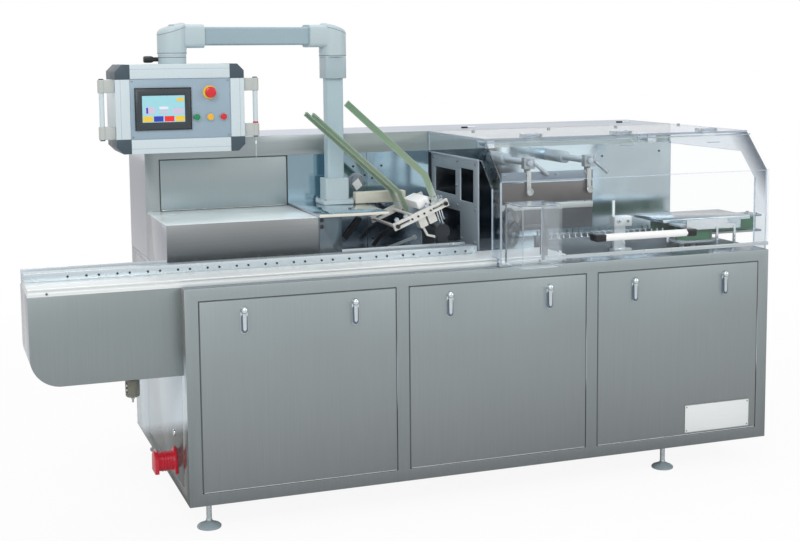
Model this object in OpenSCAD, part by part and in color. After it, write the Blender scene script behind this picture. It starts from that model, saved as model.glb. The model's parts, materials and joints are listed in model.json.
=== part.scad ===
// Automatic cartoner: base cabinet, infeed conveyor, carton magazine,
// clear guard hood over the closing section, side-belt outfeed and a
// control box on a swinging pendant arm. Millimetres, +Z up, front faces -Y.

/* [Base cabinet] */
// Length of the base cabinet along the line
base_len = 2300; // [2100:10:2600]
// Depth of the base cabinet, front to back
base_depth = 1120; // [1060:10:1300]
// Height of the table top above the floor
table_z = 850; // [800:5:900]
// Clear height under the base cabinet
ground_gap = 100; // [70:5:140]
// Thickness of the lift-off panels
panel_t = 20; // [10:1:30]
// Seam left round each panel
seam = 4; // [2:0.5:8]
// Frame left beside the outer panels
panel_side_margin = 46; // [30:1:80]
// Frame left between two panels
panel_mullion = 46; // [30:1:80]
// Frame left above and below the panels
panel_edge_margin = 43; // [30:1:80]

/* [Levelling feet] */
// Distance of the left feet from the left side
foot_left_inset = 80; // [60:5:200]
// Distance of the right feet from the right side
foot_right_inset = 420; // [80:5:600]
// Distance of the feet from the front and the back
foot_edge_inset = 75; // [60:5:150]
// Diameter of a foot disc
foot_d = 84; // [60:2:120]
// Diameter of a foot spindle
spindle_d = 20; // [12:1:30]

/* [Back cabinet] */
// Depth of the back cabinet
back_depth = 390; // [300:10:420]
// Top of the back cabinet above the floor
back_top = 1308; // [1280:2:1360]
// Height of the plain band along the top
band_h = 79; // [50:1:120]
// Thickness of the polished wall panels
liner_t = 4; // [2:0.5:8]

/* [Infeed conveyor] */
// Reach of the infeed beyond the base cabinet
infeed_reach = 500; // [350:10:700]
// Setback of the infeed from the cabinet front
infeed_setback = 45; // [20:1:80]
// Depth of the infeed housing
infeed_depth = 300; // [280:5:340]
// Height of the infeed housing
infeed_h = 301; // [200:1:400]
// Radius of its lower corner
infeed_corner_r = 100; // [40:5:150]
// Width of the aluminium deck profile
deck_w = 198; // [180:1:210]
// Height of the deck profile
deck_h = 27; // [20:1:40]
// Width of the slots along the deck profile
deck_slot = 8; // [4:0.5:10]
// Reach of the deck past the left end of the hood
deck_past_hood = 280; // [100:10:400]
// Width of the front guide channel
guide_w = 53; // [30:1:60]
// Height of the front guide channel
guide_h = 29; // [20:1:50]
// Wall of the front guide channel
guide_wall = 4; // [2:0.5:6]
// Width of the bucket chain
chain_w = 56; // [40:1:58]
// Thickness of the chain strip
chain_t = 8; // [5:1:12]
// Spacing of the bucket dividers
divider_pitch = 80; // [60:2:120]
// Thickness of a bucket divider
divider_t = 4; // [2:0.5:6]
// Height of the bucket dividers
divider_h = 36; // [20:1:44]
// Thickness of the rear guide strip
rear_guide_t = 6; // [3:0.5:10]

/* [Infeed cover] */
// Length of the cover beside the infeed
cover_len = 560; // [400:10:600]
// Setback of the cover from the cabinet front
cover_setback = 303; // [300:1:340]
// Height of the cover above the table
cover_h = 180; // [150:5:220]

/* [Pendant] */
// Place of the post along the line
post_x = 729; // [710:1:760]
// Distance of the post's axis from the polished wall
post_wall_dist = 76; // [66:1:84]
// Width of the post and arm tubes
tube_w = 68; // [50:1:80]
// Depth of the post and arm tubes
tube_d = 55; // [40:1:70]
// Corner radius of the tubes
tube_r = 8; // [3:0.5:12]
// Wall of the tubes
tube_wall = 4; // [2:0.5:8]
// Width of the pedestal plate
ped_w = 270; // [250:5:300]
// Thickness of the pedestal plate
ped_t = 10; // [6:1:20]
// Width of the pedestal column
ped_col_w = 88; // [60:1:120]
// Depth of the pedestal column
ped_col_d = 70; // [50:1:120]
// Width of the post foot flange
foot_flange_w = 124; // [110:1:134]
// Thickness of the post foot flange
foot_flange_t = 16; // [8:1:25]
// Width of the post foot sleeve
foot_sleeve_w = 96; // [84:1:108]
// Height of the post foot sleeve
foot_sleeve_h = 84; // [50:1:120]
// Width of the collar on top of the post
collar_w = 88; // [78:1:100]
// Height of the collar on top of the post
collar_h = 84; // [60:1:120]
// Height of the arm's centre line above the floor
arm_z = 1694; // [1660:1:1720]
// Distance from the post to the control box swivel
arm_len = 665; // [600:1:700]
// Turn of the arm towards the front at rest
arm_rest_deg = 11.4; // [8:0.1:20]
// Diameter of the elbow castings
elbow_d = 106; // [94:1:116]
// Slope of an elbow casting's cap, in degrees
cap_slope = 17; // [8:1:22]
// Height of an elbow above the arm's centre line
elbow_rise = 50; // [42:1:60]
// Length of the socket that takes the arm tube
socket_len = 62; // [40:1:90]
// Gap at the turning rings
ring_gap = 0.3; // [0.2:0.1:1]

/* [Control box] */
// Height of the control box's top above the floor
box_top = 1594; // [1560:2:1620]
// Width of the control box
box_w = 460; // [420:2:520]
// Height of the control box
box_h = 314; // [280:2:340]
// Depth of the control box
box_d = 220; // [160:2:230]
// Distance of the swivel from the back of the box
box_back = 70; // [50:1:110]
// Height of the neck between elbow and box
neck_h = 34; // [20:1:60]
// Visible width of the frame profiles
profile_w = 50; // [35:1:60]
// Length of a corner piece along an edge
corner_len = 52; // [51:1:70]
// Chamfer of the corner pieces
corner_cut = 24; // [15:1:32]
// Recess of the face plate behind the frame
face_recess = 4; // [2:0.5:10]
// Thickness of the face plate
face_t = 3; // [2:0.5:6]
// Width of the touch panel
screen_w = 201; // [160:1:230]
// Height of the touch panel
screen_h = 150; // [120:1:170]
// Thickness of the touch panel bezel
screen_t = 7; // [4:0.5:12]
// Diameter of the emergency stop button
estop_d = 40; // [30:1:60]
// Diameter of a push-button ring
button_d = 29; // [20:1:36]
// Spacing of the push-buttons
button_pitch = 48; // [36:1:52]
// Distance of the touch panel from the left frame profile
screen_inset = 16; // [8:1:18]
// Distance of the middle button from the right frame profile
control_inset = 76; // [70:1:78]
// Height of the emergency stop above the box's middle
estop_rise = 56; // [40:1:70]
// Depth of the push-buttons below the box's middle
button_fall = 32; // [20:1:60]
// Reach of the side handles
handle_reach = 58; // [45:1:66]
// Diameter of the side handle tubes
handle_tube_d = 18; // [12:1:24]
// Height of a side handle bracket
handle_block_h = 46; // [30:1:60]
// Width of a side handle bracket, front to back
handle_block_w = 26; // [22:1:36]

/* [Carton magazine] */
// Slope of the magazine's upper rails
rail_slope = 42; // [35:1:50]
// Slope of the magazine's lower rails
mouth_slope = 68; // [60:1:75]
// Length of the sloping part of the rails
rail_len = 464; // [380:2:520]
// Length of the steep lower part of the rails
rail_drop = 92; // [70:1:130]
// Width of a rail
rail_w = 25; // [18:1:32]
// Thickness of a rail
rail_t = 5; // [3:0.5:8]
// Depth of the rib under a rail
rail_lip = 12; // [8:1:20]
// Distance of the front rail from the polished wall
mag_wall_dist = 406; // [390:1:410]
// Distance from the front rail to the rear rail
mag_w = 250; // [200:5:270]
// Distance from the rear rail to the middle rail
mag_mid = 108; // [60:2:140]
// Height of the front rail over the others
mag_rise = 62; // [50:1:90]
// Length of the sloping part of the front rail
front_rail_len = 395; // [300:5:450]
// Extra height of the front rail's bend
front_bend_up = 37; // [10:1:60]
// Length of the mouth bars
mouth_len = 236; // [200:2:260]
// Width of the mouth bars
mouth_w = 28; // [20:1:36]
// Thickness of the mouth bars
mouth_t = 14; // [8:1:20]
// Height of the mouth's middle above the table
mouth_z = 169; // [150:1:190]
// Width of the follower block along the mouth
follower_w = 52; // [30:1:56]
// Height of the follower block
follower_h = 32; // [20:1:60]
// Clearance of the follower block
follower_gap = 3; // [2:0.5:8]
// Width of a separator head block
head_w = 32; // [24:1:34]
// Depth of the separator head
head_d = 40; // [20:1:60]
// Place of the mouth's middle along the line
mouth_x = 964; // [950:1:975]

/* [Carton feeding] */
// Height of the bulkhead's upper plate above the table
bulkhead_rise = 160; // [130:5:170]
// Thickness of the bulkhead
bulkhead_t = 6; // [4:0.5:10]
// Gap between the bulkhead and the pieces beside it
bulkhead_gap = 4; // [2:0.5:6]
// Width of the rear window
rear_window_w = 222; // [150:2:240]
// Distance of the rear window from the polished wall
rear_window_inset = 36; // [20:1:40]
// Edge left above and below the rear window
rear_window_margin = 58; // [40:1:70]
// Width of the front window
front_window_w = 132; // [100:2:140]
// Distance of the front window from the plate's front edge
front_window_inset = 44; // [30:1:46]
// Edge left above and below the front window
front_window_margin = 44; // [30:1:60]
// Height of the feeder shaft above the table
feeder_rise = 90; // [70:1:100]
// Place of the feeder shaft along the line
feeder_x = 1080; // [1074:1:1100]
// Diameter of the feeder hub
feeder_hub_d = 60; // [40:1:70]
// Length of the feeder hub between its bearings
feeder_hub_len = 130; // [110:1:140]

/* [Guard hood] */
// Left end of the hood along the line
hood_x = 1158; // [1140:2:1200]
// Setback of the hood's front from the cabinet front
hood_setback = 5; // [0:1:20]
// Height of the fold above the table
fold_h = 312; // [280:2:340]
// Run of the sloping part, front to back
slope_run = 141; // [110:1:170]
// Thickness of the clear sheets
sheet_t = 8; // [5:0.5:12]
// Width of the clear end frames
end_w = 77; // [60:1:95]
// Gap between the lid and the fixed sheets
lid_gap = 5; // [5:0.5:8]
// Gap under the lid
lid_lift = 17; // [10:1:25]
// Length of the lid handle
lid_handle_len = 430; // [300:5:500]
// Distance of the lid handle from the hood's left end
lid_handle_start = 357; // [330:1:420]
// Height of the lid handle above the table
lid_handle_rise = 92; // [80:1:110]
// Diameter of the lid handle tube
lid_handle_d = 28; // [20:1:36]
// Finger gap behind the lid handle
lid_handle_gap = 26; // [22:1:40]
// Width of the clear box on the lid
bay_w = 156; // [130:2:180]
// Depth of the clear box on the lid
bay_d = 145; // [110:1:160]
// Height of the clear box on the lid
bay_h = 224; // [200:2:240]
// Diameter of the hinge pins
hinge_pin_d = 8; // [6:0.5:12]

/* [Closing section] */
// Diameter of the handwheel
wheel_d = 150; // [120:2:160]
// Distance of the first cantilever shaft from the hood's left end
shaft_start = 282; // [250:2:300]
// Spacing of the cantilever shafts
shaft_pitch = 265; // [240:5:300]
// Height of the cantilever shafts above the table
shaft_rise = 342; // [320:2:350]
// Reach of the cantilever shafts from the polished wall
shaft_reach = 376; // [340:2:390]
// Diameter of the cantilever shafts
shaft_d = 25; // [18:1:32]
// Diameter of the shaft collars
collar_d = 50; // [36:1:60]
// Length of the shaft collars
collar_len = 150; // [80:5:200]
// Width of the guide clamps
clamp_w = 46; // [40:1:60]
// Thickness of the guide clamps
clamp_t = 28; // [20:1:36]
// Thickness of the clamps' drop bars
drop_t = 10; // [6:1:14]
// Length of the guide plates
guide_plate_len = 400; // [340:5:440]
// Reach of the guide plates before the first shaft
guide_plate_lead = 115; // [90:1:116]
// Height of the lower guide plate above the table
low_plate_rise = 76; // [70:1:80]
// Height of a guide plate
guide_plate_h = 80; // [70:1:84]
// Gap over each guide plate stage
guide_plate_gap = 4; // [2:0.5:6]
// Height of the bar over the lower plate
low_bar_h = 24; // [16:1:28]
// Height of the bar over the upper plate
high_bar_h = 38; // [24:1:42]
// Thickness of the guide plates
guide_plate_t = 4; // [3:0.5:8]
// Height of the carton rails above the table
track_h = 60; // [40:2:80]
// Thickness of the carton rails
track_t = 20; // [12:1:30]

/* [Outfeed] */
// Length of the short front belt unit
front_unit_len = 172; // [150:2:200]
// Height of the chrome guard plate in front of the belts
guard_h = 40; // [30:1:50]
// Length of the chrome guard plate
guard_len = 248; // [200:2:300]
// Reach of the outfeed beyond the base cabinet
out_reach = 190; // [100:5:260]
// Left end of the outfeed plates along the line
out_x = 1985; // [1960:5:2040]
// Front edge of the outfeed plates behind the cabinet front
out_y = 135; // [125:1:150]
// Depth of one belt unit
belt_unit_d = 88; // [70:1:100]
// Width of the carton path between the belts
carton_path = 96; // [80:1:130]
// Height of the belts
belt_h = 56; // [40:1:70]
// Thickness of the belts
belt_t = 5; // [3:0.5:8]
// Thickness of the outfeed plates
out_plate_t = 8; // [5:0.5:12]

/* [Hidden] */
$fn = 48;
eps = 1;

// Overall box, so that the origin sits under its centre
latch_proud = 22;
x_low = -infeed_reach;
x_high = base_len + out_reach;
lid_y = hood_setback;
y_low = lid_y - bay_d;
y_high = base_depth + latch_proud;
centre_x = (x_low + x_high) / 2;
centre_y = (y_low + y_high) / 2;

// Panels of the base cabinet
panel_n = 3;
pocket_w = (base_len - 2 * panel_side_margin - (panel_n - 1) * panel_mullion) / panel_n;
pocket_z = ground_gap + panel_edge_margin;
pocket_h = table_z - ground_gap - 2 * panel_edge_margin;
side_pocket_y = 92;
side_pocket_w = 720;
latch_inset = 155;
latch_drop = 23;
latch_len = 94;
latch_w = 26;

// Back cabinet
back_y = base_depth - back_depth;
back_panel_x = 54;
back_panel_foot = table_z + cover_h;
wall_x = cover_len;
wall_top = back_top - band_h;
wall_seam_x = 891;

// Infeed
infeed_front = infeed_setback;
deck_top = table_z + deck_h;
deck_back = infeed_front + deck_w;
deck_end = hood_x + deck_past_hood;
guide_end = hood_x - 18;
guide_top = deck_top + guide_h;
channel_back = cover_setback;
chain_y = (deck_back + channel_back - chain_w) / 2;
chain_len = guide_end + infeed_reach;
divider_n = floor(chain_len / divider_pitch);
cover_top = table_z + cover_h;

// Pendant
ped_x = cover_len;
ped_y = 290;
ped_top = cover_top + ped_t;
wall_face_y = back_y - liner_t;
post_y = wall_face_y - post_wall_dist;
collar_top = arm_z - 80;
collar_z = collar_top - collar_h;
arm_dir = [-cos(arm_rest_deg), -sin(arm_rest_deg)];
swivel_x = post_x + arm_len * arm_dir[0];
swivel_y = post_y + arm_len * arm_dir[1];
elbow_low = collar_top + ring_gap;
box_z = box_top - box_h;
neck_top = box_top + neck_h;
drop_low = neck_top + ring_gap;
box_front_y = box_back - box_d;

// Magazine
mouth_pos = [mouth_x, table_z + mouth_z];
mouth_tilt = 90 - mouth_slope;
mag_front_y = wall_face_y - mag_wall_dist;
mag_back_y = mag_front_y + mag_w;
mag_mid_y = mag_back_y - mag_mid;
slope_dir = [-cos(rail_slope), sin(rail_slope)];
mouth_dir = [-cos(mouth_slope), sin(mouth_slope)];
tie_d = 12;
rise_dir = [sin(mouth_slope), cos(mouth_slope)];
low_foot = mouth_pos - mouth_w / 2 * mouth_dir;

// Hood
fold_z = table_z + fold_h;
hinge_y = lid_y + slope_run;
lid_low = table_z + lid_lift;
hood_len = base_len - hood_x;
bay_x = hood_x + 14;
bay_low = table_z + 14;
hinge_r = hinge_pin_d / 2;
barrel_r = hinge_r + 3;
hinge_z = back_top + barrel_r;
slope_rise = back_top - fold_z;
slope_len = norm([slope_run, slope_rise]);
slope_up = [slope_run, slope_rise] / slope_len;
slope_in = [slope_rise, -slope_run] / slope_len;
hinge_n = 3;
top_front = hinge_y + 12;
lid_end_gap = 16;
strap_len = 40;
strap_t = 4;
hinge_knuckle = 60;

// Outfeed
out_len = x_high - out_x;
out_low = table_z + 22;
belt_z = out_low + out_plate_t;
out_high = belt_z + belt_h;
roller_d = belt_unit_d - 20;

// Places the children in the machine's own frame.
module machine() {
  translate([-centre_x, -centre_y, 0]) children();
}

// Block between two corners.
module block(low, high) {
  translate(low) cube(high - low);
}

// Outline with round corners, centred.
module round_rect(w, h, r) {
  square([w - 2 * r, h], center = true);
  square([w, h - 2 * r], center = true);
  for (x = [-1, 1], y = [-1, 1])
    translate([x * (w / 2 - r), y * (h / 2 - r)]) circle(r = r);
}

// Turns an outline drawn in X and Z so that it stands and runs along +Y.
module along_y(y, depth) {
  translate([0, y + depth, 0]) rotate([90, 0, 0]) linear_extrude(depth) children();
}

// Turns an outline drawn in Y and Z so that it runs along +X.
module along_x(x, len) {
  translate([x, 0, 0]) rotate([90, 0, 90]) linear_extrude(len) children();
}

// Left edge of one pocket of the base cabinet.
function pocket_x(i) = panel_side_margin + i * (pocket_w + panel_mullion);

// Base cabinet

module base_cabinet() {
  color("#8b9494") machine() difference() {
    block([0, 0, ground_gap], [base_len, base_depth, table_z]);
    for (i = [0:panel_n - 1]) {
      translate([pocket_x(i), -eps, pocket_z]) cube([pocket_w, panel_t + eps, pocket_h]);
      translate([pocket_x(i), base_depth - panel_t, pocket_z])
        cube([pocket_w, panel_t + eps, pocket_h]);
    }
    for (x = [-eps, base_len - panel_t])
      translate([x, side_pocket_y, pocket_z]) cube([panel_t + eps, side_pocket_w, pocket_h]);
  }
}

// Lift-off panel that fills one pocket, with a seam all round.
module base_panel(i, y) {
  translate([pocket_x(i) + seam, y, pocket_z + seam])
    cube([pocket_w - 2 * seam, panel_t, pocket_h - 2 * seam]);
}

// Lift-off panels of the base front and of the back cabinet's front.
module front_panels() {
  color("#8b9494") machine() {
    for (i = [0:panel_n - 1]) base_panel(i, 0);
    block([back_panel_x + seam, back_y, back_panel_foot + seam],
          [wall_x - seam, back_y + panel_t, wall_top - seam]);
  }
}

// Lift-off panels on the back of both cabinets.
module rear_panels() {
  color("#8b9494") machine() for (i = [0:panel_n - 1]) {
    base_panel(i, base_depth - panel_t);
    block([pocket_x(i) + seam, base_depth - panel_t, table_z + panel_edge_margin + seam],
          [pocket_x(i) + pocket_w - seam, base_depth, wall_top - seam]);
  }
}

module side_panels() {
  color("#b4b4be") machine() for (x = [0, base_len - panel_t])
    translate([x, side_pocket_y + seam, pocket_z + seam])
      cube([panel_t, side_pocket_w - 2 * seam, pocket_h - 2 * seam]);
}

// Lift latch: a round head over a long body, standing on a panel's face.
module latch() {
  body_t = 12;
  head_r = latch_w / 2;
  translate([0, 0, -head_r]) rotate([90, 0, 0]) cylinder(r = head_r, h = latch_proud);
  translate([0, 0, -latch_len + head_r]) rotate([90, 0, 0]) cylinder(r = head_r, h = body_t);
  block([-head_r, -body_t, -latch_len + head_r], [head_r, 0, -head_r]);
}

module panel_latches() {
  latch_top = pocket_z + pocket_h - seam - latch_drop;
  color("#d8dcdc") machine() for (i = [0:panel_n - 1], s = [latch_inset, pocket_w - latch_inset]) {
    translate([pocket_x(i) + s, 0, latch_top]) latch();
    translate([pocket_x(i) + s, base_depth, latch_top]) rotate([0, 0, 180]) latch();
  }
}

// Foot: a domed disc on a spindle with a lock nut under the cabinet.
module levelling_foot() {
  nut_h = 14;
  rim_h = 10;
  dome_h = 12;
  rotate_extrude() polygon([[0, 0], [foot_d / 2, 0], [foot_d / 2, rim_h],
    [spindle_d, rim_h + dome_h], [spindle_d / 2, rim_h + dome_h],
    [spindle_d / 2, ground_gap], [0, ground_gap]]);
  translate([0, 0, ground_gap - nut_h]) cylinder(d = 2 * spindle_d, h = nut_h, $fn = 6);
}

module levelling_feet() {
  color("#6f7575") machine()
    for (x = [foot_left_inset, base_len - foot_right_inset],
         y = [foot_edge_inset, base_depth - foot_edge_inset])
      translate([x, y, 0]) levelling_foot();
}

// Back cabinet

module back_cabinet() {
  color("#8b9494") machine() difference() {
    block([0, back_y, table_z], [base_len, base_depth, back_top]);
    block([back_panel_x, back_y - eps, back_panel_foot],
          [wall_x, back_y + panel_t, wall_top]);
    for (i = [0:panel_n - 1])
      block([pocket_x(i), base_depth - panel_t, table_z + panel_edge_margin],
            [pocket_x(i) + pocket_w, base_depth + eps, wall_top]);
  }
}

// Polished sheets on the cabinet's front, open to the working area.
module polished_wall() {
  wall_gap = 2;
  color("#aebac4") machine() {
    block([wall_x, wall_face_y, table_z], [wall_seam_x - wall_gap, back_y, wall_top]);
    block([wall_seam_x, wall_face_y, table_z], [hood_x - wall_gap, back_y, wall_top]);
    block([hood_x, wall_face_y, table_z], [base_len, back_y, wall_top]);
  }
}

// Infeed conveyor

// Side outline of the housing, with its lower outer corner rounded.
module infeed_outline() {
  r = infeed_corner_r;
  low = table_z - infeed_h;
  translate([-infeed_reach, low + r]) square([infeed_reach, infeed_h - r]);
  translate([-infeed_reach + r, low]) square([infeed_reach - r, infeed_h]);
  translate([-infeed_reach + r, low + r]) circle(r = r);
}

module infeed_housing() {
  color("#8b9494") machine() along_y(infeed_front, infeed_depth) infeed_outline();
}

// Deck profile with a slot along its front and two along its end face.
module infeed_deck() {
  slot_depth = 6;
  color("#e8ecea") machine() difference() {
    block([-infeed_reach, infeed_front, table_z], [deck_end, deck_back, deck_top]);
    block([-infeed_reach - eps, infeed_front - eps, table_z + deck_h / 2],
          [deck_end + eps, infeed_front + slot_depth, table_z + deck_h / 2 + deck_slot]);
  }
}

// Guides at either side of the buckets: an inverted channel in front, a flat strip behind.
module infeed_guides() {
  color("#aab8be") machine() {
    difference() {
      block([-infeed_reach, deck_back - guide_w, deck_top], [guide_end, deck_back, guide_top]);
      block([-infeed_reach - eps, deck_back - guide_w + guide_wall, deck_top - eps],
            [guide_end + eps, deck_back - guide_wall, guide_top - guide_wall]);
    }
    block([-infeed_reach, channel_back, table_z], [0, channel_back + rear_guide_t, guide_top]);
    block([cover_len + ped_col_w, channel_back, table_z],
          [guide_end, channel_back + rear_guide_t, guide_top]);
  }
}

module infeed_chain() {
  color("#9aa2a2") machine()
    block([-infeed_reach, chain_y, table_z], [guide_end, chain_y + chain_w, table_z + chain_t]);
}

// Dividers standing on the chain, one for each product bucket.
module bucket_dividers() {
  first = -infeed_reach + divider_pitch / 2;
  color("#c4cacc") machine() for (i = [0:divider_n - 1])
    translate([first + i * divider_pitch, chain_y, table_z + chain_t])
      cube([divider_t, chain_w, divider_h]);
}

module infeed_cover() {
  color("#a0a6a6") machine()
    block([0, cover_setback, table_z], [cover_len, back_y, cover_top]);
}

// Air filter with a clear bowl and a drain, hung under the infeed housing.
module air_filter() {
  filter_x = -150;
  filter_y = 200;
  head_d = 46;
  bowl_d = 50;
  head_h = 34;
  bowl_h = 62;
  drain_h = 20;
  top = table_z - infeed_h;
  color("#7c7f72") machine() translate([filter_x, filter_y, top]) rotate_extrude()
    polygon([[0, 0], [head_d / 2, 0], [head_d / 2, -head_h], [bowl_d / 2, -head_h],
      [bowl_d / 2, -head_h - bowl_h + bowl_d / 4], [bowl_d / 4, -head_h - bowl_h],
      [bowl_d / 8, -head_h - bowl_h], [bowl_d / 8, -head_h - bowl_h - drain_h],
      [0, -head_h - bowl_h - drain_h]]);
}

// House-shaped outline of the inlet's flange and cap, with a peak at the top.
module inlet_outline(w, peak) {
  polygon([[-w / 2, -w / 2], [w / 2, -w / 2], [w / 2, w / 4], [w / 6, w / 2 + peak],
    [-w / 6, w / 2 + peak], [-w / 2, w / 4]]);
}

// Appliance inlet on the left side: a flange, a round body and a hinged cap.
module power_inlet() {
  inlet_y = 247;
  inlet_z = ground_gap + 98;
  flange_w = 80;
  flange_t = 8;
  body_d = 68;
  body_len = 56;
  cap_w = 72;
  cap_t = 14;
  peak = 6;
  color("#b0202c") machine() translate([0, inlet_y, inlet_z]) rotate([90, 0, -90]) {
    linear_extrude(flange_t) inlet_outline(flange_w, peak);
    translate([0, 0, flange_t]) cylinder(d = body_d, h = body_len);
    translate([0, 0, flange_t + body_len]) linear_extrude(cap_t) inlet_outline(cap_w, peak);
  }
}

// Pendant post

// Column with two tapped holes, and the plate on it that carries the post.
module pedestal() {
  hole_d = 14;
  hole_depth = 12;
  hole_drop = [12, 36];
  color("#b0bac0") machine() {
    difference() {
      block([cover_len, channel_back, table_z],
            [cover_len + ped_col_w, channel_back + ped_col_d, cover_top]);
      for (drop = hole_drop)
        translate([cover_len + hole_drop[0], channel_back - eps, cover_top - drop]) rotate([-90, 0, 0])
          cylinder(d = hole_d, h = hole_depth);
    }
    block([ped_x, ped_y, cover_top], [ped_x + ped_w, wall_face_y, ped_top]);
  }
}

// Sleeve on a flange that takes the lower end of the post.
module post_foot() {
  color("#dfe7e8") machine() translate([post_x, post_y, ped_top]) difference() {
    union() {
      linear_extrude(foot_flange_t) round_rect(foot_flange_w, foot_flange_w, 8);
      linear_extrude(foot_flange_t + foot_sleeve_h) round_rect(foot_sleeve_w, foot_sleeve_w - 12, 8);
    }
    translate([0, 0, foot_flange_t]) linear_extrude(foot_sleeve_h + eps)
      round_rect(tube_w, tube_d, tube_r);
  }
}

module post_tube() {
  low = ped_top + foot_flange_t;
  color("#a9bcc4") machine() translate([post_x, post_y, low])
    linear_extrude(collar_top - low - 20) difference() {
      round_rect(tube_w, tube_d, tube_r);
      round_rect(tube_w - 2 * tube_wall, tube_d - 2 * tube_wall, tube_r - tube_wall);
    }
}

module post_collar() {
  cap_t = 20;
  color("#cdd9dc") machine() translate([post_x, post_y, collar_z]) difference() {
    linear_extrude(collar_h) round_rect(collar_w, collar_w, 12);
    translate([0, 0, -eps]) linear_extrude(collar_h - cap_t + eps) round_rect(tube_w, tube_d, tube_r);
  }
}

// Elbow casting: a round turret with a sloped cap and a flat socket for the arm tube.
// Drawn at its own axis with the socket pointing along +X.
module elbow(low, socket) {
  turret_r = elbow_d / 2;
  wall = 9;
  top = arm_z + elbow_rise;
  difference() {
    union() {
      translate([0, 0, low]) cylinder(r = turret_r, h = top - low);
      along_x(0, turret_r + socket) translate([0, arm_z])
        round_rect(tube_d + 2 * wall, tube_w + 2 * wall, tube_r + wall);
    }
    along_x(turret_r + socket / 3, socket) translate([0, arm_z]) round_rect(tube_d, tube_w, tube_r);
    translate([0.75 * turret_r, -elbow_d, top]) rotate([0, -cap_slope, 0])
      translate([-2 * elbow_d, 0, 0]) cube(2 * elbow_d);
  }
}

module on_arm(x, y, turn) {
  translate([x, y, 0]) rotate([0, 0, turn]) children();
}

module post_elbow() {
  color("#cdd9dc") machine() on_arm(post_x, post_y, arm_rest_deg + 180) elbow(elbow_low, socket_len);
}

module drop_elbow() {
  color("#cdd9dc") machine() on_arm(swivel_x, swivel_y, arm_rest_deg) elbow(drop_low, socket_len);
}

module arm_tube() {
  bury = elbow_d / 2 + socket_len / 3;
  color("#a9bcc4") machine() on_arm(swivel_x, swivel_y, arm_rest_deg)
    along_x(bury, arm_len - 2 * bury) translate([0, arm_z]) difference() {
      round_rect(tube_d, tube_w, tube_r);
      round_rect(tube_d - 2 * tube_wall, tube_w - 2 * tube_wall, tube_r - tube_wall);
    }
}

// Control box, drawn at its swivel with its face towards -Y

module at_swivel() {
  machine() translate([swivel_x, swivel_y, 0]) children();
}

// Neck with a clamp knob, between the elbow and the top of the box.
module box_neck() {
  knob_z = box_top + neck_h / 2;
  knob_len = 60;
  color("#cdd9dc") at_swivel() {
    translate([0, 0, box_top]) cylinder(d = elbow_d - 4, h = neck_h);
    translate([0, 0, knob_z]) rotate([0, -90, 0]) cylinder(d = 10, h = elbow_d / 2 + 20);
    translate([-elbow_d / 2 - knob_len / 3, 0, knob_z]) rotate([0, -90, 0])
      cylinder(d1 = 14, d2 = 20, h = knob_len / 2);
  }
}

// Front outline of the box, with its four corners cut.
module box_outline(w, h, cut) {
  polygon([[-w / 2 + cut, 0], [w / 2 - cut, 0], [w / 2, cut], [w / 2, h - cut],
    [w / 2 - cut, h], [-w / 2 + cut, h], [-w / 2, h - cut], [-w / 2, cut]]);
}

// Two-axis outline that the corner pieces take out of the box body.
module corner_windows() {
  for (x = [-1, 1], z = [0, 1])
    translate([x * box_w / 2, z * box_h]) square(2 * corner_len, center = true);
}

module box_body() {
  color("#e6ecee") at_swivel() translate([0, 0, box_z]) difference() {
    along_y(box_front_y, box_d) difference() {
      box_outline(box_w, box_h, corner_cut);
      corner_windows();
    }
    translate([-box_w / 2 + profile_w, box_front_y - eps, profile_w])
      cube([box_w - 2 * profile_w, face_recess + face_t + eps, box_h - 2 * profile_w]);
  }
}

module box_corners() {
  color("#56646e") at_swivel() translate([0, 0, box_z]) difference() {
    along_y(box_front_y, box_d) intersection() {
      box_outline(box_w, box_h, corner_cut);
      corner_windows();
    }
    translate([-box_w / 2 + profile_w, box_front_y - eps, profile_w])
      cube([box_w - 2 * profile_w, face_recess + face_t + eps, box_h - 2 * profile_w]);
  }
}

face_front_y = box_front_y + face_recess;

module box_face() {
  color("#93a7b8") at_swivel() translate([-box_w / 2 + profile_w, face_front_y, box_z + profile_w])
    cube([box_w - 2 * profile_w, face_t, box_h - 2 * profile_w]);
}

// Touch panel: a bezel round a sunk screen.
module touch_panel() {
  bezel = 24;
  sink = 2;
  screen_x = -box_w / 2 + profile_w + screen_inset;
  screen_z = box_z + (box_h - screen_h) / 2;
  color("#23292d") at_swivel() translate([screen_x, face_front_y - screen_t, screen_z]) difference() {
    cube([screen_w, screen_t, screen_h]);
    translate([bezel, -eps, bezel]) cube([screen_w - 2 * bezel, sink + eps, screen_h - 2 * bezel]);
  }
}

control_x = box_w / 2 - profile_w - control_inset;
estop_z = box_z + box_h / 2 + estop_rise;
button_z = box_z + box_h / 2 - button_fall;

module emergency_stop() {
  ring_t = 3;
  stem_h = 14;
  head_h = 16;
  color("#c8242c") at_swivel() translate([control_x, face_front_y, estop_z]) rotate([90, 0, 0])
    rotate_extrude() polygon([[0, 0], [estop_d * 0.6, 0], [estop_d * 0.6, ring_t],
      [estop_d * 0.3, ring_t], [estop_d * 0.3, stem_h], [estop_d / 2, stem_h],
      [estop_d / 2, stem_h + head_h * 0.6], [estop_d * 0.4, stem_h + head_h],
      [0, stem_h + head_h]]);
}

module push_buttons() {
  ring_h = 8;
  cap_h = 12;
  color("#d9dee0") at_swivel() for (i = [-1:1])
    translate([control_x + i * button_pitch, face_front_y, button_z]) rotate([90, 0, 0]) {
      cylinder(d = button_d, h = ring_h);
      cylinder(d = button_d * 0.72, h = cap_h);
    }
}

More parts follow.
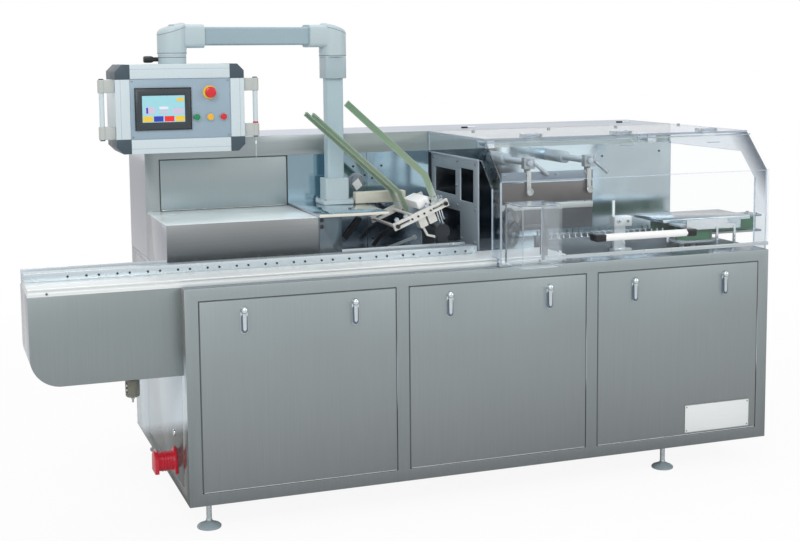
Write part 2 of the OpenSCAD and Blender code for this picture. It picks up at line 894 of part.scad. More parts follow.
// Side handles: two brackets and a tube on each side of the box.
module box_handles() {
  handle_y = box_front_y + 22;
  span = box_h - 2 * corner_len;
  color("#bfc6c6") at_swivel() for (s = [-1, 1]) {
    for (z = [box_z + corner_len, box_z + corner_len + span - handle_block_h])
      translate([s * (box_w / 2 + handle_reach / 2), handle_y, z])
        translate([-handle_reach / 2, -handle_block_w / 2, 0])
          cube([handle_reach, handle_block_w, handle_block_h]);
    translate([s * (box_w / 2 + handle_reach - handle_block_w / 2), handle_y, box_z + corner_len])
      cylinder(d = handle_tube_d, h = span);
  }
}

// Carton magazine

// Side outline of a rail that stands on "foot" and bends after "drop", from
// "low" to "high" above the line of its sole.
module rail_outline(foot, drop, len, low, high) {
  bend = foot + drop * mouth_dir;
  top = bend + len * slope_dir;
  half = (mouth_slope - rail_slope) / 2;
  mitre = [sin(rail_slope + half), cos(rail_slope + half)] / cos(half);
  slope_up = [sin(rail_slope), cos(rail_slope)];
  polygon([foot + low * rise_dir, bend + low * mitre, top + low * slope_up,
    top + high * slope_up, bend + high * mitre, foot + high * rise_dir]);
}

// Lower rail: a flat sole with a rib under its middle.
module sole_rail(y) {
  along_y(y, rail_w) rail_outline(low_foot, rail_drop, rail_len, 0, rail_t);
  along_y(y + (rail_w - rail_t) / 2, rail_t)
    rail_outline(low_foot, rail_drop, rail_len, -rail_lip, rail_t);
}

module magazine_rails() {
  color("#5f8a63") machine() {
    sole_rail(mag_back_y - rail_w);
    sole_rail(mag_mid_y - rail_w / 2);
    along_y(mag_front_y, rail_t)
      rail_outline(low_foot, rail_drop + front_bend_up, front_rail_len, mag_rise, mag_rise + rail_w);
  }
}

// Draws its children in the mouth's own plane: +X along the bars.
module at_mouth(y, depth) {
  along_y(y, depth) translate(mouth_pos) rotate(mouth_tilt) children();
}

// Mouth frame: two slotted bars tied by cross rods.
module magazine_mouth() {
  slot_w = 9;
  slot_len = 46;
  slot_end = 22;
  tie_end = 10;
  bar_front = mag_front_y - mouth_t;
  color("#c6cccc") machine() {
    for (y = [bar_front, mag_back_y]) at_mouth(y, mouth_t) difference() {
      square([mouth_len, mouth_w], center = true);
      for (s = [-1, 1]) translate([s * (mouth_len / 2 - slot_len / 2 - slot_end), 0])
        square([slot_len, slot_w], center = true);
    }
    for (u = [tie_end - mouth_len / 2, -rail_lip - tie_d / 2, mouth_len / 2 - tie_end])
      at_mouth(mag_front_y, mag_w) translate([u, 0]) circle(d = tie_d);
  }
}

// Arm that carries the mouth frame from the pedestal plate.
module magazine_arm() {
  arm_h = 44;
  color("#d8d6c8") machine()
    block([post_x + foot_flange_w / 2 + 5, mag_back_y + mouth_t, ped_top],
          [mouth_x + 40, mag_back_y + mouth_t + 40, ped_top + arm_h]);
}

// White follower block that rests on the lower rails, over the mouth.
module carton_follower() {
  follower_y = mag_front_y + rail_t + follower_gap;
  depth = mag_mid_y + rail_w / 2 - follower_y;
  color("#f4f5f4") machine() at_mouth(follower_y, depth)
    translate([rail_t, mouth_w / 2 + follower_gap]) square([follower_w, follower_h]);
}

// Separator head under the mouth: two blocks and a bent finger.
module separator_head() {
  head_top = 8;
  head_low = 52;
  finger_t = 8;
  finger_fall = 34;
  finger_run = 28;
  color("#d3d8d8") machine() {
    at_mouth(mag_front_y, head_d) {
      translate([-head_w / 2, -head_low]) square([head_w, head_low - head_top]);
      translate([head_w / 2 + finger_t, -head_low]) square([head_w, head_low - head_top]);
    }
    at_mouth(mag_front_y + finger_t, finger_t) polygon([[-finger_t, -head_low + eps], [0, -head_low + eps],
      [finger_t / 2, -head_low - finger_fall], [finger_run, -head_low - 1.5 * finger_fall],
      [finger_run - finger_t / 2, -head_low - 1.5 * finger_fall - finger_t],
      [-finger_t / 2, -head_low - finger_fall - finger_t / 2]]);
  }
}

// Carton feeding

// Dark bulkhead with two windows at the entry to the closing section.
module feeder_bulkhead() {
  plate_x = hood_x + sheet_t + bulkhead_gap;
  plate_y = deck_back + bulkhead_gap;
  plate_low = table_z + bulkhead_rise;
  plate_high = wall_top - bulkhead_gap;
  front_y = plate_y + front_window_inset;
  rear_y = wall_face_y - rear_window_inset - rear_window_w;
  color("#4a5258") machine() {
    difference() {
      block([plate_x, plate_y, plate_low], [plate_x + bulkhead_t, wall_face_y, plate_high]);
      block([plate_x - eps, rear_y, plate_low + rear_window_margin],
            [plate_x + bulkhead_t + eps, rear_y + rear_window_w, plate_high - rear_window_margin]);
      block([plate_x - eps, front_y, plate_low + front_window_margin],
            [plate_x + bulkhead_t + eps, front_y + front_window_w, plate_high - front_window_margin]);
    }
    block([plate_x, plate_y, table_z], [plate_x + bulkhead_t, front_y + front_window_w, plate_low]);
  }
}

// Rotary feeder: two bearing plates, a hub and two suction arms.
module suction_feeder() {
  base_w = 70;
  base_t = 20;
  plate_w = 40;
  plate_t = 20;
  arm_d = 14;
  arm_h = 70;
  arm_inset = 25;
  arm_lean = 50;
  cup_d = 34;
  cup_h = 16;
  feeder_y = mag_front_y + 2 * head_d;
  feeder_z = table_z + feeder_rise;
  color("#3f464b") machine() translate([feeder_x, feeder_y, 0]) {
    block([-base_w / 2, -plate_t, table_z], [base_w / 2, feeder_hub_len + plate_t, table_z + base_t]);
    for (y = [-plate_t, feeder_hub_len])
      block([-plate_w / 2, y, table_z], [plate_w / 2, y + plate_t, feeder_z]);
    translate([0, -plate_t, feeder_z]) rotate([-90, 0, 0])
      cylinder(d = feeder_hub_d, h = feeder_hub_len + 2 * plate_t);
    for (y = [arm_inset, feeder_hub_len - arm_inset])
      translate([0, y, feeder_z]) rotate([0, -arm_lean, 0]) {
        cylinder(d = arm_d, h = arm_h);
        translate([0, 0, arm_h]) cylinder(d1 = arm_d, d2 = cup_d, h = cup_h);
      }
  }
}

// Closing section under the hood

track_x = deck_end + 10;
track_end = out_x - 20;

module carton_track() {
  color("#9ba3a6") machine() for (y = [unit_y(0) + belt_unit_d - track_t, unit_y(1)])
    block([track_x, y, table_z], [track_end, y + track_t, table_z + track_h]);
}

shaft_z = table_z + shaft_rise;
shaft_x = hood_x + shaft_start;
shaft_y = wall_face_y - shaft_reach;
clamp_y = shaft_y + 10;
drop_y = clamp_y + clamp_t - drop_t;

// Cantilever shafts on collars, from the polished wall to the front.
module guide_shafts() {
  color("#cfd5d8") machine() for (i = [0, 1])
    translate([shaft_x + i * shaft_pitch, wall_face_y, shaft_z]) rotate([90, 0, 0]) {
      cylinder(d = shaft_d, h = shaft_reach);
      cylinder(d = collar_d, h = collar_len);
    }
}

// Clamps on the shafts, with lever handles, and the drop bars for the plates.
module guide_clamps() {
  drop_w = 24;
  shaft_clear = 0.3;
  lever_d = 12;
  lever_end_d = 17;
  lever_len = 78;
  lever_lean = 128;
  color("#b9bfc0") machine() for (i = [0, 1])
    translate([shaft_x + i * shaft_pitch, 0, 0]) {
      translate([0, clamp_y, shaft_z]) difference() {
        block([-clamp_w / 2, 0, -clamp_w / 2], [clamp_w / 2, clamp_t, clamp_w / 2]);
        translate([0, -eps, 0]) rotate([-90, 0, 0])
          cylinder(d = shaft_d + shaft_clear, h = clamp_t + 2 * eps);
      }
      block([-drop_w / 2, drop_y, plate_z[0]], [drop_w / 2, drop_y + drop_t, shaft_z - clamp_w / 2]);
      translate([clamp_w / 2 - lever_d / 2, clamp_y, shaft_z]) rotate([0, lever_lean, 0])
        cylinder(d1 = lever_d, d2 = lever_end_d, h = lever_len);
    }
}

// Heights of the two guide plates and of the bars above them.
bar_h = [low_bar_h, high_bar_h];
plate_low = table_z + low_plate_rise;
plate_z = [plate_low, plate_low + guide_plate_h + low_bar_h + guide_plate_gap];
bar_z = [plate_z[0] + guide_plate_h, plate_z[1] + guide_plate_h + guide_plate_gap];

// Guide plates on the drop bars, each under a bar.
module guide_plates() {
  bar_t = 8;
  plate_x = shaft_x - guide_plate_lead;
  color("#6a5f58") machine() for (i = [0, 1]) {
    block([plate_x, drop_y - guide_plate_t, plate_z[i]],
          [plate_x + guide_plate_len, drop_y, plate_z[i] + guide_plate_h]);
    block([plate_x, drop_y - bar_t, bar_z[i]],
          [plate_x + guide_plate_len, drop_y, bar_z[i] + bar_h[i]]);
  }
}

// Bearing block on a stand, with a threaded rod beside it.
module bearing_stand() {
  stand_w = 76;
  stand_d = 40;
  stand_h = 140;
  stand_t = 14;
  block_h = 38;
  rod_d = 12;
  rod_h = 62;
  stand_x = shaft_x + shaft_pitch;
  stand_y = unit_y(0) + belt_unit_d - track_t - stand_d - lid_gap;
  color("#c9cdca") machine() {
    block([stand_x, stand_y, table_z], [stand_x + stand_w, stand_y + stand_d, table_z + stand_t]);
    block([stand_x + stand_t, stand_y + stand_d - stand_t, table_z],
          [stand_x + stand_w - stand_t, stand_y + stand_d, table_z + stand_h]);
    block([stand_x, stand_y, table_z + stand_h - block_h],
          [stand_x + stand_w, stand_y + stand_d, table_z + stand_h]);
    translate([stand_x + rod_d / 2, stand_y + stand_d / 2, table_z + stand_h - eps])
      cylinder(d = rod_d, h = rod_h);
  }
}

// Handwheel on a bearing stand behind the clear box.
module handwheel() {
  wheel_x = bay_x + 45;
  wheel_y = infeed_front + 15;
  wheel_z = table_z + 135;
  rim_d = 16;
  hub_d = 34;
  hub_len = 30;
  spoke_w = 12;
  spoke_t = 10;
  stand_x = bay_x + bay_w + 20;
  stand_w = 40;
  stand_t = 14;
  stand_over = 24;
  color("#1c1f22") machine() translate([wheel_x, wheel_y, wheel_z]) {
    rotate([0, 90, 0]) {
      rotate_extrude() translate([wheel_d / 2 - rim_d / 2, 0]) circle(d = rim_d);
      translate([0, 0, -rim_d / 2]) cylinder(d = hub_d, h = hub_len);
      for (a = [0, 120, 240]) rotate([0, 0, a]) translate([0, -spoke_w / 2, -spoke_t / 2])
        cube([wheel_d / 2 - rim_d / 2, spoke_w, spoke_t]);
      cylinder(d = rim_d, h = stand_x - wheel_x);
    }
    block([stand_x - wheel_x, -stand_w / 2, deck_top - wheel_z],
          [stand_x - wheel_x + stand_t, stand_w / 2, stand_over]);
  }
}

// Outfeed

// Belt units at either side of the carton path: a short front one, a long rear one.
function unit_y(i) = out_y + i * (belt_unit_d + carton_path);
unit_len = [front_unit_len, out_len];
roller_inset = roller_d / 2 + 12;
function roller_x(i) = [out_x + roller_inset, out_x + unit_len[i] - roller_inset];

module outfeed_plates() {
  post_d = 18;
  color("#596066") machine() for (i = [0, 1]) {
    for (z = [out_low, out_high])
      block([out_x, unit_y(i), z], [out_x + unit_len[i], unit_y(i) + belt_unit_d, z + out_plate_t]);
    for (x = [0.2, 0.5])
      translate([out_x + x * unit_len[i], unit_y(i) + belt_unit_d / 2, table_z])
        cylinder(d = post_d, h = out_low - table_z);
  }
}

module outfeed_rollers() {
  color("#8f979a") machine() for (i = [0, 1], x = roller_x(i))
    translate([x, unit_y(i) + belt_unit_d / 2, belt_z]) cylinder(d = roller_d, h = belt_h);
}

// Outline of a belt that runs round two rollers.
module belt_outline(ends, r) {
  for (x = ends) translate([x, 0]) circle(r = r);
  translate([ends[0], -r]) square([ends[1] - ends[0], 2 * r]);
}

module outfeed_belts() {
  run = 0.3;
  edge = 3;
  color("#3c8a5c") machine() for (i = [0, 1])
    translate([0, unit_y(i) + belt_unit_d / 2, belt_z + edge])
      linear_extrude(belt_h - 2 * edge) difference() {
        belt_outline(roller_x(i), roller_d / 2 + belt_t);
        belt_outline(roller_x(i), roller_d / 2 + run);
      }
}

// Polished cover over the carton path and the rear belt.
module outfeed_cover() {
  cover_t = 14;
  cover_start = 30;
  cover_l = 405;
  lap = 10;
  overhang = 34;
  color("#c3ccd2") machine()
    block([out_x - cover_start, unit_y(0) + belt_unit_d - lap, out_high + out_plate_t],
          [out_x - cover_start + cover_l, unit_y(1) + belt_unit_d + overhang,
           out_high + out_plate_t + cover_t]);
}

// Chrome guard plate on two posts, in front of the front belt.
module outfeed_guard() {
  plate_t = 5;
  plate_gap = 8;
  post_d = 12;
  post_x = [138, 218];
  guard_x = out_x + 20;
  plate_back = out_y - plate_gap;
  color("#c8ced0") machine() {
    block([guard_x, plate_back - plate_t, belt_z + belt_h - 12],
          [guard_x + guard_len, plate_back, belt_z + belt_h - 12 + guard_h]);
    for (x = post_x) translate([guard_x + x, plate_back - plate_t, table_z])
      cylinder(d = post_d, h = belt_z + belt_h - table_z);
  }
}

// Guard hood

module hood_top() {
  color([0.86, 0.9, 0.92, 0.5]) machine()
    block([hood_x, top_front, back_top - sheet_t], [base_len, back_y, back_top]);
}

// Point of the hood's profile, in Y and Z, at a depth under its outer face:
// the fold and the place where the slope reaches a given height.
function fold_point(depth) =
  [lid_y + depth, fold_z - depth * (slope_len - slope_rise) / slope_run];
function slope_point(depth, z) =
  [lid_y + (z - fold_z) * slope_run / slope_rise + depth * slope_len / slope_rise, z];

// End frame outline in Y and Z: a leg, a slope and a top strip.
module end_outline(depth, top) {
  polygon([[lid_y + depth, table_z - eps], fold_point(depth), slope_point(depth, top),
    [wall_face_y + eps, top], [wall_face_y + eps, table_z - eps]]);
}

// End frames stand on the table, the left one round the infeed deck.
module hood_ends() {
  depth = sheet_t + lid_gap;
  top = back_top - sheet_t;
  color([0.8, 0.88, 0.9, 0.5]) machine() difference() {
    for (x = [hood_x, base_len - sheet_t]) along_x(x, sheet_t) difference() {
      intersection() {
        end_outline(depth, top);
        translate([0, table_z]) square([wall_face_y, top - table_z]);
      }
      end_outline(depth + end_w, top - end_w);
    }
    block([hood_x - eps, infeed_front, table_z - eps], [hood_x + sheet_t + eps, deck_back, deck_top]);
  }
}

// Hinge places along the lid
function hinge_x(i) = hood_x + hood_len * (i + 0.5) / hinge_n;

// Lugs on the hood top, each pair with a pin.
module lid_hinge_pins() {
  lug_t = 8;
  lug_w = 22;
  color("#c8cccc") machine() for (i = [0:hinge_n - 1]) translate([hinge_x(i), hinge_y, hinge_z]) {
    for (x = [-hinge_knuckle / 2 - lug_t, hinge_knuckle / 2])
      block([x, -barrel_r, -barrel_r], [x + lug_t, top_front - hinge_y + lug_w, barrel_r]);
    translate([-hinge_knuckle / 2, 0, 0]) rotate([0, 90, 0])
      cylinder(d = hinge_pin_d, h = hinge_knuckle);
  }
}

// Short damper cylinders, each in a bracket under the hood top.
module lid_stays() {
  stay_d = 26;
  stay_len = 90;
  stay_y = top_front + 172;
  stay_start = 60;
  stay_pitch = hood_len * 0.61;
  bracket_w = 34;
  bracket_t = 12;
  stay_z = back_top - sheet_t - bracket_w / 2;
  color("#b8c0c4") machine() for (i = [0, 1])
  translate([hood_x + stay_start + i * stay_pitch, stay_y, stay_z]) {
    rotate([90, 0, 0]) cylinder(d = stay_d, h = stay_len);
    for (y = [-stay_len, -bracket_t])
      block([-bracket_w / 2, y, -bracket_w / 2], [bracket_w / 2, y + bracket_t, bracket_w / 2]);
  }
}

// Bent profile of the lid in Y and Z.
module lid_outline() {
  outer_end = [hinge_y, back_top] - lid_end_gap * slope_up;
  polygon([[lid_y, lid_low], [lid_y, fold_z], outer_end, outer_end + sheet_t * slope_in,
    fold_point(sheet_t), [lid_y + sheet_t, lid_low]]);
}

// Strap that ties a hinge barrel to the lid's outer face.
module strap_outline() {
  hinge = [hinge_y, hinge_z];
  outer_end = [hinge_y, back_top] - lid_end_gap * slope_up;
  strap_end = outer_end - strap_len * slope_up;
  bite = sheet_t / 2 * slope_in;
  polygon([strap_end + bite, strap_end - strap_t * slope_in, outer_end - strap_t * slope_in,
    hinge - barrel_r * slope_in, hinge + barrel_r * slope_in, outer_end + bite]);
}

// Lid: front sheet and sloping sheet in one bend, with barrels at the top.
module guard_lid() {
  barrel_len = hinge_knuckle - 2;
  pin_clear = 0.1;
  color([0.85, 0.92, 0.94, 0.35]) machine() difference() {
    union() {
      along_x(hood_x, hood_len) lid_outline();
      for (i = [0:hinge_n - 1]) {
        along_x(hinge_x(i) - barrel_len / 2, barrel_len) strap_outline();
        along_x(hinge_x(i) - barrel_len / 2, barrel_len)
          translate([hinge_y, hinge_z]) circle(r = barrel_r);
      }
    }
    for (i = [0:hinge_n - 1]) along_x(hinge_x(i) - hinge_knuckle, 2 * hinge_knuckle)
      translate([hinge_y, hinge_z]) circle(r = hinge_r + pin_clear);
    block([bay_x + sheet_t, lid_y - eps, bay_low + sheet_t],
          [bay_x + bay_w - sheet_t, lid_y + sheet_t + eps, bay_low + bay_h - sheet_t]);
  }
}

// Clear box on the lid, open towards the machine and below.
module lid_bay() {
  color([0.85, 0.92, 0.94, 0.35]) machine() difference() {
    block([bay_x, lid_y - bay_d, bay_low], [bay_x + bay_w, lid_y, bay_low + bay_h]);
    block([bay_x + sheet_t, lid_y - bay_d + sheet_t, bay_low - eps],
          [bay_x + bay_w - sheet_t, lid_y + eps, bay_low + bay_h - sheet_t]);
  }
}

// Lid handle: a tube between two end brackets.
module lid_handle() {
  end_len = 44;
  handle_x = hood_x + lid_handle_start;
  handle_z = table_z + lid_handle_rise;
  handle_y = lid_y - lid_handle_gap - lid_handle_d / 2;
  color("#f2f2f2") machine() {
    translate([handle_x, handle_y, handle_z]) rotate([0, 90, 0])
      cylinder(d = lid_handle_d, h = lid_handle_len);
    for (x = [handle_x, handle_x + lid_handle_len - end_len])
      block([x, handle_y - lid_handle_d / 2, handle_z - lid_handle_d / 2],
            [x + end_len, lid_y, handle_z + lid_handle_d / 2]);
  }
}

base_cabinet();
front_panels();
rear_panels();
side_panels();
panel_latches();
levelling_feet();
back_cabinet();
polished_wall();
infeed_housing();
infeed_deck();
infeed_guides();
infeed_chain();
bucket_dividers();
infeed_cover();
air_filter();
power_inlet();
pedestal();
post_foot();
post_tube();
post_collar();
post_elbow();
arm_tube();
drop_elbow();
box_neck();
box_body();
box_corners();
box_face();
touch_panel();
emergency_stop();
push_buttons();
box_handles();
magazine_rails();
magazine_mouth();
magazine_arm();
carton_follower();
separator_head();
feeder_bulkhead();
suction_feeder();
carton_track();
guide_shafts();
guide_clamps();
guide_plates();
bearing_stand();
handwheel();
outfeed_plates();
outfeed_rollers();
outfeed_belts();
outfeed_cover();
outfeed_guard();
hood_top();
hood_ends();
lid_hinge_pins();
lid_stays();
guard_lid();
lid_bay();
lid_handle();
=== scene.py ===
"""Automatic cartoner: finishes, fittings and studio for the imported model."""
import json
import math

import bmesh
import bpy
from mathutils import Matrix, Vector

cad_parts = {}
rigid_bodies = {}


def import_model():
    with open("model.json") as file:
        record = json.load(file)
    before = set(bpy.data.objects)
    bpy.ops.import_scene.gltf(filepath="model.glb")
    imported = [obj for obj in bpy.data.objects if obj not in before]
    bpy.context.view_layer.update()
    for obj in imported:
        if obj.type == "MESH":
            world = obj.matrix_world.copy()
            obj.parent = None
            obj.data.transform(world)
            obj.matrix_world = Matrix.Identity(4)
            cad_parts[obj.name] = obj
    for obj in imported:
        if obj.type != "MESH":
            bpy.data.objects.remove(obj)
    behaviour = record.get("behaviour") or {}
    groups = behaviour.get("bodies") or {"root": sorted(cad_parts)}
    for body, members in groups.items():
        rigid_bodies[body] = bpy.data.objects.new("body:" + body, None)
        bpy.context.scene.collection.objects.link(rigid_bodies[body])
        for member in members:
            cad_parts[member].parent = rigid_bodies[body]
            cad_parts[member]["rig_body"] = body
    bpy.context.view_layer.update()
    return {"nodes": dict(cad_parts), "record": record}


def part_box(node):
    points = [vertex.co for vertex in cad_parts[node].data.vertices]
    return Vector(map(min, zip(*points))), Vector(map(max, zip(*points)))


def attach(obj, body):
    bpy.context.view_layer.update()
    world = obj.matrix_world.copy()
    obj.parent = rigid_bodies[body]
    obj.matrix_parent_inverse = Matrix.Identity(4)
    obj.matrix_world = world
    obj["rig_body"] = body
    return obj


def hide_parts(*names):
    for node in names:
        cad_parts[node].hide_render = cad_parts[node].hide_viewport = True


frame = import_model()

MM = 0.001
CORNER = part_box("base_cabinet")[0]
LEFT, RIGHT = Vector((-1, 0, 0)), Vector((1, 0, 0))
FRONT, BACK = Vector((0, -1, 0)), Vector((0, 1, 0))
DOWN, UP = Vector((0, 0, -1)), Vector((0, 0, 1))
NODE_SLOT = {s["node"]: s["material_slot"] for s in frame["record"]["subparts"]}


def spot(x, y, z):
    """Point in mm from the base cabinet's front left corner, at floor height."""
    return Vector((CORNER.x + x * MM, CORNER.y + y * MM, z * MM))


def paint(red, green, blue):
    """Shader colour from the 0 to 255 values of a colour card."""
    def linear(value):
        value /= 255
        return value / 12.92 if value <= 0.04045 else ((value + 0.055) / 1.055) ** 2.4
    return linear(red), linear(green), linear(blue), 1.0


def shade(colour, amount):
    """The same colour made darker or lighter."""
    return tuple(min(1.0, channel * amount) for channel in colour[:3]) + (1.0,)


# Shader node groups

def new_node(tree, kind, values=None, **settings):
    """Adds a node with its settings, and values for some of its inputs."""
    node = tree.nodes.new(kind)
    for label, value in settings.items():
        setattr(node, label, value)
    for label, value in (values or {}).items():
        node.inputs[label].default_value = value
    return node


def shader_group(name, inputs, outputs):
    """An empty group with its sockets, and the nodes at its two ends."""
    tree = bpy.data.node_groups.new(name, "ShaderNodeTree")
    for label, kind, value in inputs:
        socket = tree.interface.new_socket(name=label, in_out="INPUT", socket_type=kind)
        socket.default_value = value
    for label, kind in outputs:
        tree.interface.new_socket(name=label, in_out="OUTPUT", socket_type=kind)
    return tree, tree.nodes.new("NodeGroupInput"), tree.nodes.new("NodeGroupOutput")


def brushed_grain_group():
    """Noise drawn out along one direction, as a belt sander leaves it."""
    tree, given, result = shader_group(
        "Brushed grain",
        [("Stretch", "NodeSocketVector", (40.0, 40.0, 40.0))],
        [("Grain", "NodeSocketFloat")])
    place = new_node(tree, "ShaderNodeTexCoord")
    stretch = new_node(tree, "ShaderNodeVectorMath", operation="MULTIPLY")
    noise = new_node(tree, "ShaderNodeTexNoise", {"Scale": 1.0, "Detail": 3.0, "Roughness": 0.6})
    spread = new_node(tree, "ShaderNodeMapRange", {"From Min": 0.3, "From Max": 0.7})
    link = tree.links.new
    link(place.outputs["Object"], stretch.inputs[0])
    link(given.outputs["Stretch"], stretch.inputs[1])
    link(stretch.outputs["Vector"], noise.inputs["Vector"])
    link(noise.outputs["Fac"], spread.inputs["Value"])
    link(spread.outputs["Result"], result.inputs["Grain"])
    return tree


def handling_marks_group():
    """Broad smudges and wiped patches."""
    tree, given, result = shader_group(
        "Handling marks",
        [("Scale", "NodeSocketFloat", 3.0)],
        [("Mark", "NodeSocketFloat")])
    place = new_node(tree, "ShaderNodeTexCoord")
    cloud = new_node(tree, "ShaderNodeTexNoise",
                     {"Detail": 6.0, "Roughness": 0.55, "Distortion": 0.6})
    spread = new_node(tree, "ShaderNodeMapRange", {"From Min": 0.35, "From Max": 0.68})
    link = tree.links.new
    link(place.outputs["Object"], cloud.inputs["Vector"])
    link(given.outputs["Scale"], cloud.inputs["Scale"])
    link(cloud.outputs["Fac"], spread.inputs["Value"])
    link(spread.outputs["Result"], result.inputs["Mark"])
    return tree


def worn_and_highlit_edge_group():
    """Mask that is 1 along outer edges, where a finish rubs bright and where a painted highlight
    lightens them.
    """
    tree, given, result = shader_group(
        "Worn and highlit edge",
        [("Width", "NodeSocketFloat", 0.002), ("Amount", "NodeSocketFloat", 0.5)],
        [("Edge", "NodeSocketFloat")])
    rounded = new_node(tree, "ShaderNodeBevel", samples=4)
    surface = new_node(tree, "ShaderNodeNewGeometry")
    facing = new_node(tree, "ShaderNodeVectorMath", operation="DOT_PRODUCT")
    spread = new_node(tree, "ShaderNodeMapRange", {"From Min": 0.995, "From Max": 0.85})
    edge_share = new_node(tree, "ShaderNodeMath", operation="MULTIPLY")
    link = tree.links.new
    link(given.outputs["Width"], rounded.inputs["Radius"])
    link(rounded.outputs["Normal"], facing.inputs[0])
    link(surface.outputs["Normal"], facing.inputs[1])
    link(facing.outputs["Value"], spread.inputs["Value"])
    link(spread.outputs["Result"], edge_share.inputs[0])
    link(given.outputs["Amount"], edge_share.inputs[1])
    link(edge_share.outputs["Value"], result.inputs["Edge"])
    return tree


BRUSHED_GRAIN = brushed_grain_group()
HANDLING_MARKS = handling_marks_group()
WORN_AND_HIGHLIT_EDGE = worn_and_highlit_edge_group()


# Finishes

class Finish:
    """A material whose colour, gloss and relief vary through the shared groups."""

    # Places of the colour sockets on a Mix node
    FIRST_COLOUR, SECOND_COLOUR, MIXED_COLOUR = 6, 7, 2

    def __init__(self, name, colour, roughness, metallic=0.0):
        self.material = bpy.data.materials.new(name)
        self.material.use_nodes = True
        self.tree = self.material.node_tree
        self.link = self.tree.links.new
        self.shader = self.tree.nodes["Principled BSDF"]
        self.shader.inputs["Metallic"].default_value = metallic
        self.roughness = roughness
        self.colour = colour
        self.tint = None

    def add(self, kind, values=None, **settings):
        """A new node in this material."""
        return new_node(self.tree, kind, values, **settings)

    def placed(self, group, **values):
        """A shared group with this material's own values."""
        return self.add("ShaderNodeGroup", values, node_tree=group)

    def blend(self, factor, first, second):
        """Colour between two colours or colour outputs, by a mask."""
        mix = self.add("ShaderNodeMix", data_type="RGBA")
        self.link(factor, mix.inputs["Factor"])
        for place, value in ((self.FIRST_COLOUR, first), (self.SECOND_COLOUR, second)):
            if isinstance(value, tuple):
                mix.inputs[place].default_value = value
            else:
                self.link(value, mix.inputs[place])
        return mix.outputs[self.MIXED_COLOUR]

    def mapped(self, value, low, high):
        """A value from 0 to 1 spread between two others."""
        spread = self.add("ShaderNodeMapRange", {"To Min": low, "To Max": high})
        self.link(value, spread.inputs["Value"])
        return spread.outputs["Result"]

    def slant_mask(self, direction, low, high):
        """Mask that rises from 0 to 1 between two places along a direction, in m."""
        place = self.add("ShaderNodeTexCoord")
        along = self.add("ShaderNodeVectorMath", {1: direction}, operation="DOT_PRODUCT")
        spread = self.add("ShaderNodeMapRange", {"From Min": low, "From Max": high})
        self.link(place.outputs["Object"], along.inputs[0])
        self.link(along.outputs["Value"], spread.inputs["Value"])
        return spread.outputs["Result"]

    def axis_mask(self, axis, low, high):
        """The same mask along one axis of the machine."""
        return self.slant_mask([float(name == axis) for name in "XYZ"], low, high)

    def grained(self, stretch, variation=0.05, relief=0.05, depth=0.0002):
        """Colour and fine relief that follow the grain."""
        grain = self.placed(BRUSHED_GRAIN, Stretch=stretch).outputs["Grain"]
        base = self.tint or self.colour
        if isinstance(base, tuple):
            self.tint = self.blend(grain, shade(base, 1 - variation), shade(base, 1 + variation))
        else:
            self.tint = self.blend(self.mapped(grain, 0, variation * 2), base, (1, 1, 1, 1))
        bump = self.add("ShaderNodeBump", {"Strength": relief, "Distance": depth})
        self.link(grain, bump.inputs["Height"])
        self.link(bump.outputs["Normal"], self.shader.inputs["Normal"])
        return self

    def marked(self, scale, spread=0.06):
        """Gloss that varies over broad patches."""
        mark = self.placed(HANDLING_MARKS, Scale=scale).outputs["Mark"]
        rough = self.mapped(mark, self.roughness - spread, self.roughness + spread)
        self.link(rough, self.shader.inputs["Roughness"])
        return self

    def worn_and_highlit(self, colour, width=0.0012, amount=0.5):
        """Edges turned to another colour, partly by wear and partly as a painted highlight."""
        edge = self.placed(WORN_AND_HIGHLIT_EDGE, Width=width, Amount=amount).outputs["Edge"]
        self.tint = self.blend(edge, self.tint or self.colour, colour)
        return self

    def brushed(self, stretch, rubbed_and_highlit, variation=0.012):
        """Brushed sheet: fine grain, faint smudges, and edges paler from wear and a painted
        highlight.
        """
        self.grained(stretch, variation, relief=0.025).marked(2.2, 0.05)
        return self.worn_and_highlit(rubbed_and_highlit, amount=0.6)

    def set(self, **values):
        """Constants straight on the shader's sockets."""
        for label, value in values.items():
            self.shader.inputs[label.replace("_", " ")].default_value = value
        return self

    def done(self):
        """Joins the colour to the shader and hands the material over."""
        if isinstance(self.tint, tuple) or self.tint is None:
            self.shader.inputs["Base Color"].default_value = self.tint or self.colour
        else:
            self.link(self.tint, self.shader.inputs["Base Color"])
        return self.material

    def give_way(self, factor, other):
        """Shows another shader in place of this one, as far as a factor says."""
        either = self.add("ShaderNodeMixShader")
        self.link(factor, either.inputs["Fac"])
        self.link(self.shader.outputs["BSDF"], either.inputs[1])
        self.link(other, either.inputs[2])
        self.link(either.outputs["Shader"], self.tree.nodes["Material Output"].inputs["Surface"])


UPRIGHT_GRAIN = (420.0, 420.0, 5.0)
LEVEL_GRAIN = (5.0, 420.0, 420.0)
CAST_GRAIN = (260.0, 260.0, 260.0)
PLASTIC_GRAIN = (700.0, 700.0, 700.0)
PLATED_GRAIN = (90.0, 90.0, 90.0)
BELT_GRAIN = (900.0, 900.0, 250.0)
SCREEN_GRAIN = (1500.0, 1500.0, 1500.0)
# How much paler edges get, from wear and a painted highlight
RUBBED_AND_HIGHLIT = 1.45


def brushed_steel(name, colour, roughness, stretch=UPRIGHT_GRAIN, variation=0.02, metallic=0.6):
    """Brushed steel of one colour."""
    finish = Finish(name, colour, roughness, metallic)
    return finish.brushed(stretch, shade(colour, RUBBED_AND_HIGHLIT), variation).done()


def steel_with_painted_shade(name, lower, upper, low, high, roughness, stretch=UPRIGHT_GRAIN):
    """Brushed steel with a painted shade: its colour changes between two heights in mm."""
    finish = Finish(name, upper, roughness, metallic=0.6)
    finish.tint = finish.blend(finish.axis_mask("Z", low * MM, high * MM), lower, upper)
    return finish.brushed(stretch, shade(upper, RUBBED_AND_HIGHLIT)).done()


